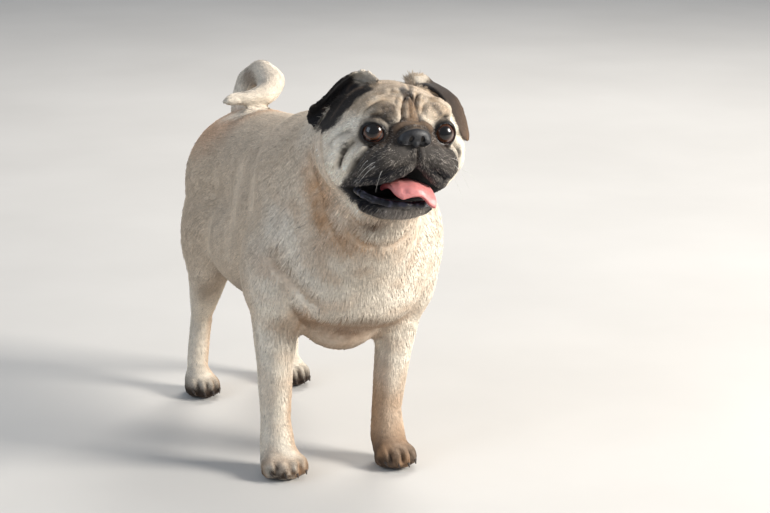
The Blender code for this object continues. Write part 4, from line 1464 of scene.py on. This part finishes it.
REGIONS = {
    "coat_muzzle": (26000, "mask_coat"),
    "coat_face": (33000, "coat"),
    "coat_scalp": (21000, "coat"),
    "coat_ears": (9000, "ear_velvet"),
    "coat_neck": (24000, "coat"),
    "coat_chest": (31000, "coat"),
    "coat_barrel": (33000, "coat"),
    "coat_rump": (31000, "coat"),
    "coat_foreleg_left": (11000, "paw_coat"),
    "coat_foreleg_right": (11000, "paw_coat"),
    "coat_hindleg_left": (10000, "paw_coat"),
    "coat_hindleg_right": (10000, "paw_coat"),
    "coat_tail": (9000, "coat"),
}


def regions_of(centres, on_ear):
    """The region's name for each face."""
    body = centres - PAWS_AT
    local = in_head(centres)
    x, y, z = body.T
    found = np.full(len(centres), "coat_barrel", dtype="<U20")
    found[y > 0.080] = "coat_rump"
    found[(y < -0.070) & (z <= 0.240)] = "coat_chest"
    found[(y < -0.070) & (z > 0.240)] = "coat_neck"
    for name, side in SIDES.items():
        mine = x * side > 0
        found[(z < 0.125) & (y < 0) & mine] = "coat_foreleg_" + name
        found[(z < 0.125) & (y >= 0) & mine] = "coat_hindleg_" + name
    under = (z > 0.095) & (np.abs(x - 0.002) < 0.030) & (z < 0.125) & (y < 0.09)
    found[under & (y < -0.05)] = "coat_chest"
    found[under & (y >= -0.05)] = "coat_barrel"
    head = (np.linalg.norm(local * (1, 0.85, 1), axis=1) < 0.082) & (local[:, 1] < 0.035) & (local[:, 2] > -0.088)
    found[head] = "coat_scalp"
    found[head & (local[:, 1] < -0.008)] = "coat_face"
    found[head & (local[:, 1] < -0.014) & (local[:, 2] < -0.002)] = "coat_muzzle"
    line, _ = curve(from_paws(TAIL_PATH), 0.003)
    distance, _ = nearest_on(line, centres)
    found[(distance < TAIL_REACH) & (z > TAIL_FOOT_Z)] = "coat_tail"
    found[on_ear > 0.5] = "coat_ears"
    return found


depths = coat_depth(points) * (1 - 0.6 * np.clip(np.maximum(shade, toe_shade) * 1.3, 0, 1))
tail_end = np.linalg.norm(points - from_paws(TAIL_PATH[-1]), axis=1)
depths *= 0.30 + 0.70 * smooth_step(0.004, 0.016, tail_end)
for name in SIDES:
    depths = np.where(ear[name] > 0.5, EAR_DEPTH, depths)
flow = coat_flow(points, normals, ear)
flow = unit(flow - (flow * normals).sum(1, keepdims=True) * normals)
corner_points = points[quads]
areas = 0.5 * np.linalg.norm(
    np.cross(corner_points[:, 2] - corner_points[:, 0], corner_points[:, 3] - corner_points[:, 1]), axis=1
)
face_depth = depths[quads].mean(1)
cover = np.interp(face_depth, DEPTHS, COVERS)
each = 0.5 * np.interp(face_depth, DEPTHS, LENGTHS) * np.interp(face_depth, DEPTHS, WIDTHS)
tuft_weight = areas * cover / each * (bare[quads].max(1) < 0.5)
region = regions_of(corner_points.mean(1), np.maximum(ear["left"], ear["right"])[quads].mean(1))
coat_look = coat_material("coat", 420, 0.25, 1600, 0.62)
for number, (name, (most, slot)) in enumerate(REGIONS.items()):
    faces = np.flatnonzero(region == name)
    wanted = int(min(most, tuft_weight[faces].sum()))
    print(name, "tufts", wanted, "of", int(tuft_weight[faces].sum()), flush=True)
    piece = tuft_mesh(name, faces, wanted, np.random.default_rng(100 + number), coat_look)


# Eyes, nose leather, tongue, claws and whiskers


def add_eye(name, look):
    """A globe with a slight bulge in front; its own z axis is the gaze."""
    mesh = bmesh.new()
    bmesh.ops.create_uvsphere(mesh, u_segments=64, v_segments=48, radius=EYE_RADIUS)
    for vert in mesh.verts:
        level = vert.co.z / EYE_RADIUS
        vert.co *= 1 + 0.075 * float(smooth_step(0.70, 0.95, level))
    data = bpy.data.meshes.new("eyeball_" + name)
    mesh.to_mesh(data)
    mesh.free()
    data.shade_smooth()
    obj = bpy.data.objects.new("eyeball_" + name, data)
    bpy.context.scene.collection.objects.link(obj)
    obj.location = head_point(eye_centre(SIDES[name]))
    gaze = Vector(GAZE[name] @ HEAD_TURN.T)
    obj.rotation_euler = gaze.to_track_quat("Z", "Y").to_euler()
    data.materials.append(look)
    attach(obj, BODY)
    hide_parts("eye_" + name)


def carved(low, high, voxel, shape):
    """(points, quads) of the zero surface of shape(points) in a box."""
    sides = [np.arange(a, b + voxel, voxel) for a, b in zip(low, high)]
    grid = np.stack(np.meshgrid(*sides, indexing="ij"), -1)
    values = np.clip(shape(grid), -3 * voxel, 3 * voxel).astype(np.float32)
    volume = vdb.FloatGrid(3 * voxel)
    volume.copyFromArray(values, tolerance=0)
    index, _, faces = volume.convertToPolygons(isovalue=0.0, adaptivity=0.0)
    return index * voxel + np.array(low), faces


def nose_shape(p):
    """The nose leather about its middle: x to the left, -y to the front."""
    shape = ball_field(p, (0, 0.0025, 0.0020), (0.0148, 0.0090, 0.0084))
    for side in (1, -1):
        wing = ball_field(p, (side * 0.0098, 0.0025, -0.0022), (0.0062, 0.0074, 0.0052))
        shape = smooth_min(shape, wing, 0.003)
    shape = smooth_min(shape, ball_field(p, (0, 0.0005, -0.0052), (0.0036, 0.0062, 0.0040)), 0.002)
    for side in (1, -1):
        hole = limb_field(p, (side * 0.0052, -0.0070, -0.0008), (side * 0.0060, 0.0020, -0.0008), 0.0020, 0.0015)
        down = limb_field(p, (side * 0.0050, -0.0060, 0.0006), (side * 0.0064, -0.0036, -0.0048), 0.0017, 0.0018)
        slit = limb_field(p, (side * 0.0064, -0.0036, -0.0048), (side * 0.0150, -0.0010, -0.0036), 0.0015, 0.0009)
        nostril = smooth_min(smooth_min(hole, down, 0.0015), slit, 0.0012)
        shape = np.maximum(shape, -nostril)
    groove = limb_field(p, (0, -0.0085, 0.0000), (0, -0.0072, -0.0100), 0.0005, 0.0010)
    return np.maximum(shape, -groove)


def add_nose():
    found, faces = carved((-0.020, -0.012, -0.012), (0.020, 0.013, 0.012), 0.00045, nose_shape)
    obj = mesh_object("nose_leather", head_point(found + NOSE_CENTRE), [faces])
    obj.data.materials.append(leather_material())
    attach(obj, BODY)
    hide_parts("nose")


TONGUE_VOXEL = 0.0007
PINK = linear(0.82, 0.52, 0.51)
SHADED_PINK = linear(0.72, 0.30, 0.32)
TONGUE_FOLD_SHADE = linear(0.50, 0.30, 0.38)


def add_tongue():
    whole, low = even_field(["tongue"], TONGUE_VOXEL, EAR_BAND, 1.1)
    volume = vdb.FloatGrid(0.004)
    volume.copyFromArray(whole, tolerance=0)
    index, _, faces = volume.convertToPolygons(isovalue=-0.0001, adaptivity=0.0)
    obj = mesh_object("tongue_flesh", index * TONGUE_VOXEL + low, [faces])
    found, outward = vertex_arrays(obj.data)
    local = in_head(found)
    low_y, high_y = local[:, 1].min(), local[:, 1].max()
    out = (high_y - local[:, 1]) / (high_y - low_y)
    groove, dark = pressed(local, [TONGUE_FOLD])
    found += outward * groove[:, None]
    hang = smooth_step(0.008, 0.020, local[:, 0]) * smooth_step(0.55, 0.95, out)
    found += HEAD_TURN[:, 0] * (TONGUE_NARROWED * np.maximum(-0.008 - local[:, 0], 0))[:, None]
    found += (TONGUE_HANG @ HEAD_TURN.T) * hang[:, None]
    obj.data.vertices.foreach_set("co", found.astype(np.float32).ravel())
    # Painted shade: the tongue darker towards its root inside the mouth
    tone = mixed(np.tile(SHADED_PINK, (len(found), 1)), PINK, smooth_step(0.25, 0.75, out))
    # Painted shade in the tongue's middle fold
    tone = mixed(tone, TONGUE_FOLD_SHADE, dark * 0.75)
    tone *= (1 + 0.06 * ripples(local, 0.004, 19))[:, None]
    # Painted shade on the tongue's downward-facing underside
    tone = mixed(tone, SHADED_PINK, smooth_step(0.2, 0.9, -(outward @ HEAD_TURN)[:, 2]) * 0.7)
    paint(obj.data, "markings_and_shade", tone)
    obj.data.materials.append(tongue_material())
    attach(obj, BODY)
    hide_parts("tongue")


TONGUE_FOLD = ([(0.001, -0.026, -0.040), (-0.0025, -0.050, -0.040), (-0.0070, -0.066, -0.0465)], 0.0034, 0.0034, 1.0)
TONGUE_NARROWED = 0.40
TONGUE_HANG = np.array((0.0, 0.0, -0.0045))

WHISKERS = [
    ((-0.0327, -0.0640, -0.0181), (-0.0210, 0.0040, -0.0190)),
    ((-0.0309, -0.0645, -0.0206), (-0.0215, 0.0030, -0.0200)),
    ((-0.0279, -0.0650, -0.0241), (-0.0075, -0.0020, -0.0190)),
    ((-0.0350, -0.0610, -0.0150), (-0.0150, 0.0060, -0.0160)),
    ((0.0355, -0.0600, -0.0147), (0.0220, -0.006, -0.0150)),
    ((0.0400, -0.0570, -0.0200), (0.0170, -0.006, -0.0240)),
    ((0.0431, -0.0540, -0.0242), (0.0250, -0.006, -0.0150)),
    ((0.0400, -0.0540, -0.0290), (0.0130, -0.004, -0.0260)),
]
WHISKER_RADIUS = 0.00019
WHISKER_BOW = np.array((0.0, 0.0, 0.0052))
WHISKER_RINGS = 10


def add_whiskers():
    """Thin bent hairs, each a tapered tube of five sides."""
    found, faces = [], []
    for start, reach in WHISKERS:
        start, reach = np.array(start), np.array(reach)
        first = len(found)
        for ring in range(WHISKER_RINGS):
            t = ring / (WHISKER_RINGS - 1)
            at = start - 0.10 * reach * (1 - t) + reach * t + WHISKER_BOW * 4 * t * (1 - t)
            radius = WHISKER_RADIUS * (1 - 0.85 * t)
            side = unit(np.cross(reach, (0, 0, 1.0)))
            up = unit(np.cross(side, reach))
            for k in range(5):
                turn = 2 * math.pi * k / 5
                found.append(at + radius * (side * math.cos(turn) + up * math.sin(turn)))
        for ring in range(WHISKER_RINGS - 1):
            for k in range(5):
                a = first + ring * 5 + k
                b = first + ring * 5 + (k + 1) % 5
                faces.append((a, b, b + 5, a + 5))
    obj = mesh_object("whiskers", head_point(np.array(found)), [np.array(faces)])
    obj.data.materials.append(plain_material("whisker", linear(0.80, 0.79, 0.77), linear(0.95, 0.94, 0.92), 200, 0.4))
    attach(obj, BODY)


eye_look = eye_material()
for name in SIDES:
    add_eye(name, eye_look)
add_nose()
add_tongue()
add_whiskers()
horn = plain_material("claw_horn", linear(0.13, 0.11, 0.10), linear(0.30, 0.25, 0.21), 500, 0.35)
for name, node in nodes.items():
    if name.startswith("claw_"):
        node.data.materials.clear()
        node.data.materials.append(horn)

# Camera and light

CAMERA_AROUND = math.radians(-20.5)
CAMERA_ABOVE = math.radians(14.0)
CAMERA_AWAY = 2.54
CAMERA_LENS = 117.8
CAMERA_TARGET = Vector(from_paws((0.0965, 0, 0.1670)))


def add_camera():
    back = Vector(
        (
            math.sin(CAMERA_AROUND) * math.cos(CAMERA_ABOVE),
            -math.cos(CAMERA_AROUND) * math.cos(CAMERA_ABOVE),
            math.sin(CAMERA_ABOVE),
        )
    )
    data = bpy.data.cameras.new("camera")
    data.lens = CAMERA_LENS
    data.sensor_width = 36
    camera = bpy.data.objects.new("camera", data)
    bpy.context.scene.collection.objects.link(camera)
    camera.location = CAMERA_TARGET + back * CAMERA_AWAY
    camera.rotation_euler = (-back).to_track_quat("-Z", "Y").to_euler()
    bpy.context.scene.camera = camera


def area_light(name, place, size, power, tint):
    data = bpy.data.lights.new(name, "AREA")
    data.size = size
    data.energy = power
    data.color = tint
    light = bpy.data.objects.new(name, data)
    bpy.context.scene.collection.objects.link(light)
    light.location = place
    light.rotation_euler = (Vector((0, 0, 0.2)) - Vector(place)).to_track_quat("-Z", "Y").to_euler()


add_camera()
area_light("key", (2.0, -1.40, 1.35), 0.85, 112, (1.0, 0.955, 0.885))
area_light("fill", (-2.7, -0.5, 1.5), 1.8, 24, (0.76, 0.87, 1.0))
area_light("rim", (1.2, 1.8, 2.0), 1.0, 42, (1.0, 0.96, 0.90))
bpy.context.scene.view_settings.view_transform = "Standard"
world = bpy.data.worlds.new("studio")
bpy.context.scene.world = world
world.use_nodes = True
world.node_tree.nodes["Background"].inputs["Color"].default_value = (0.76, 0.82, 0.91, 1)
world.node_tree.nodes["Background"].inputs["Strength"].default_value = 0.42
FLOOR = 12
floor_mesh = mesh_object(
    "floor", [(-FLOOR, -FLOOR, 0), (FLOOR, -FLOOR, 0), (FLOOR, FLOOR, 0), (-FLOOR, FLOOR, 0)], [np.array([[0, 1, 2, 3]])]
)
floor_mesh.data.materials.append(plain_material("floor", linear(0.78, 0.77, 0.755), linear(0.81, 0.80, 0.785), 3, 0.8, 0.0))
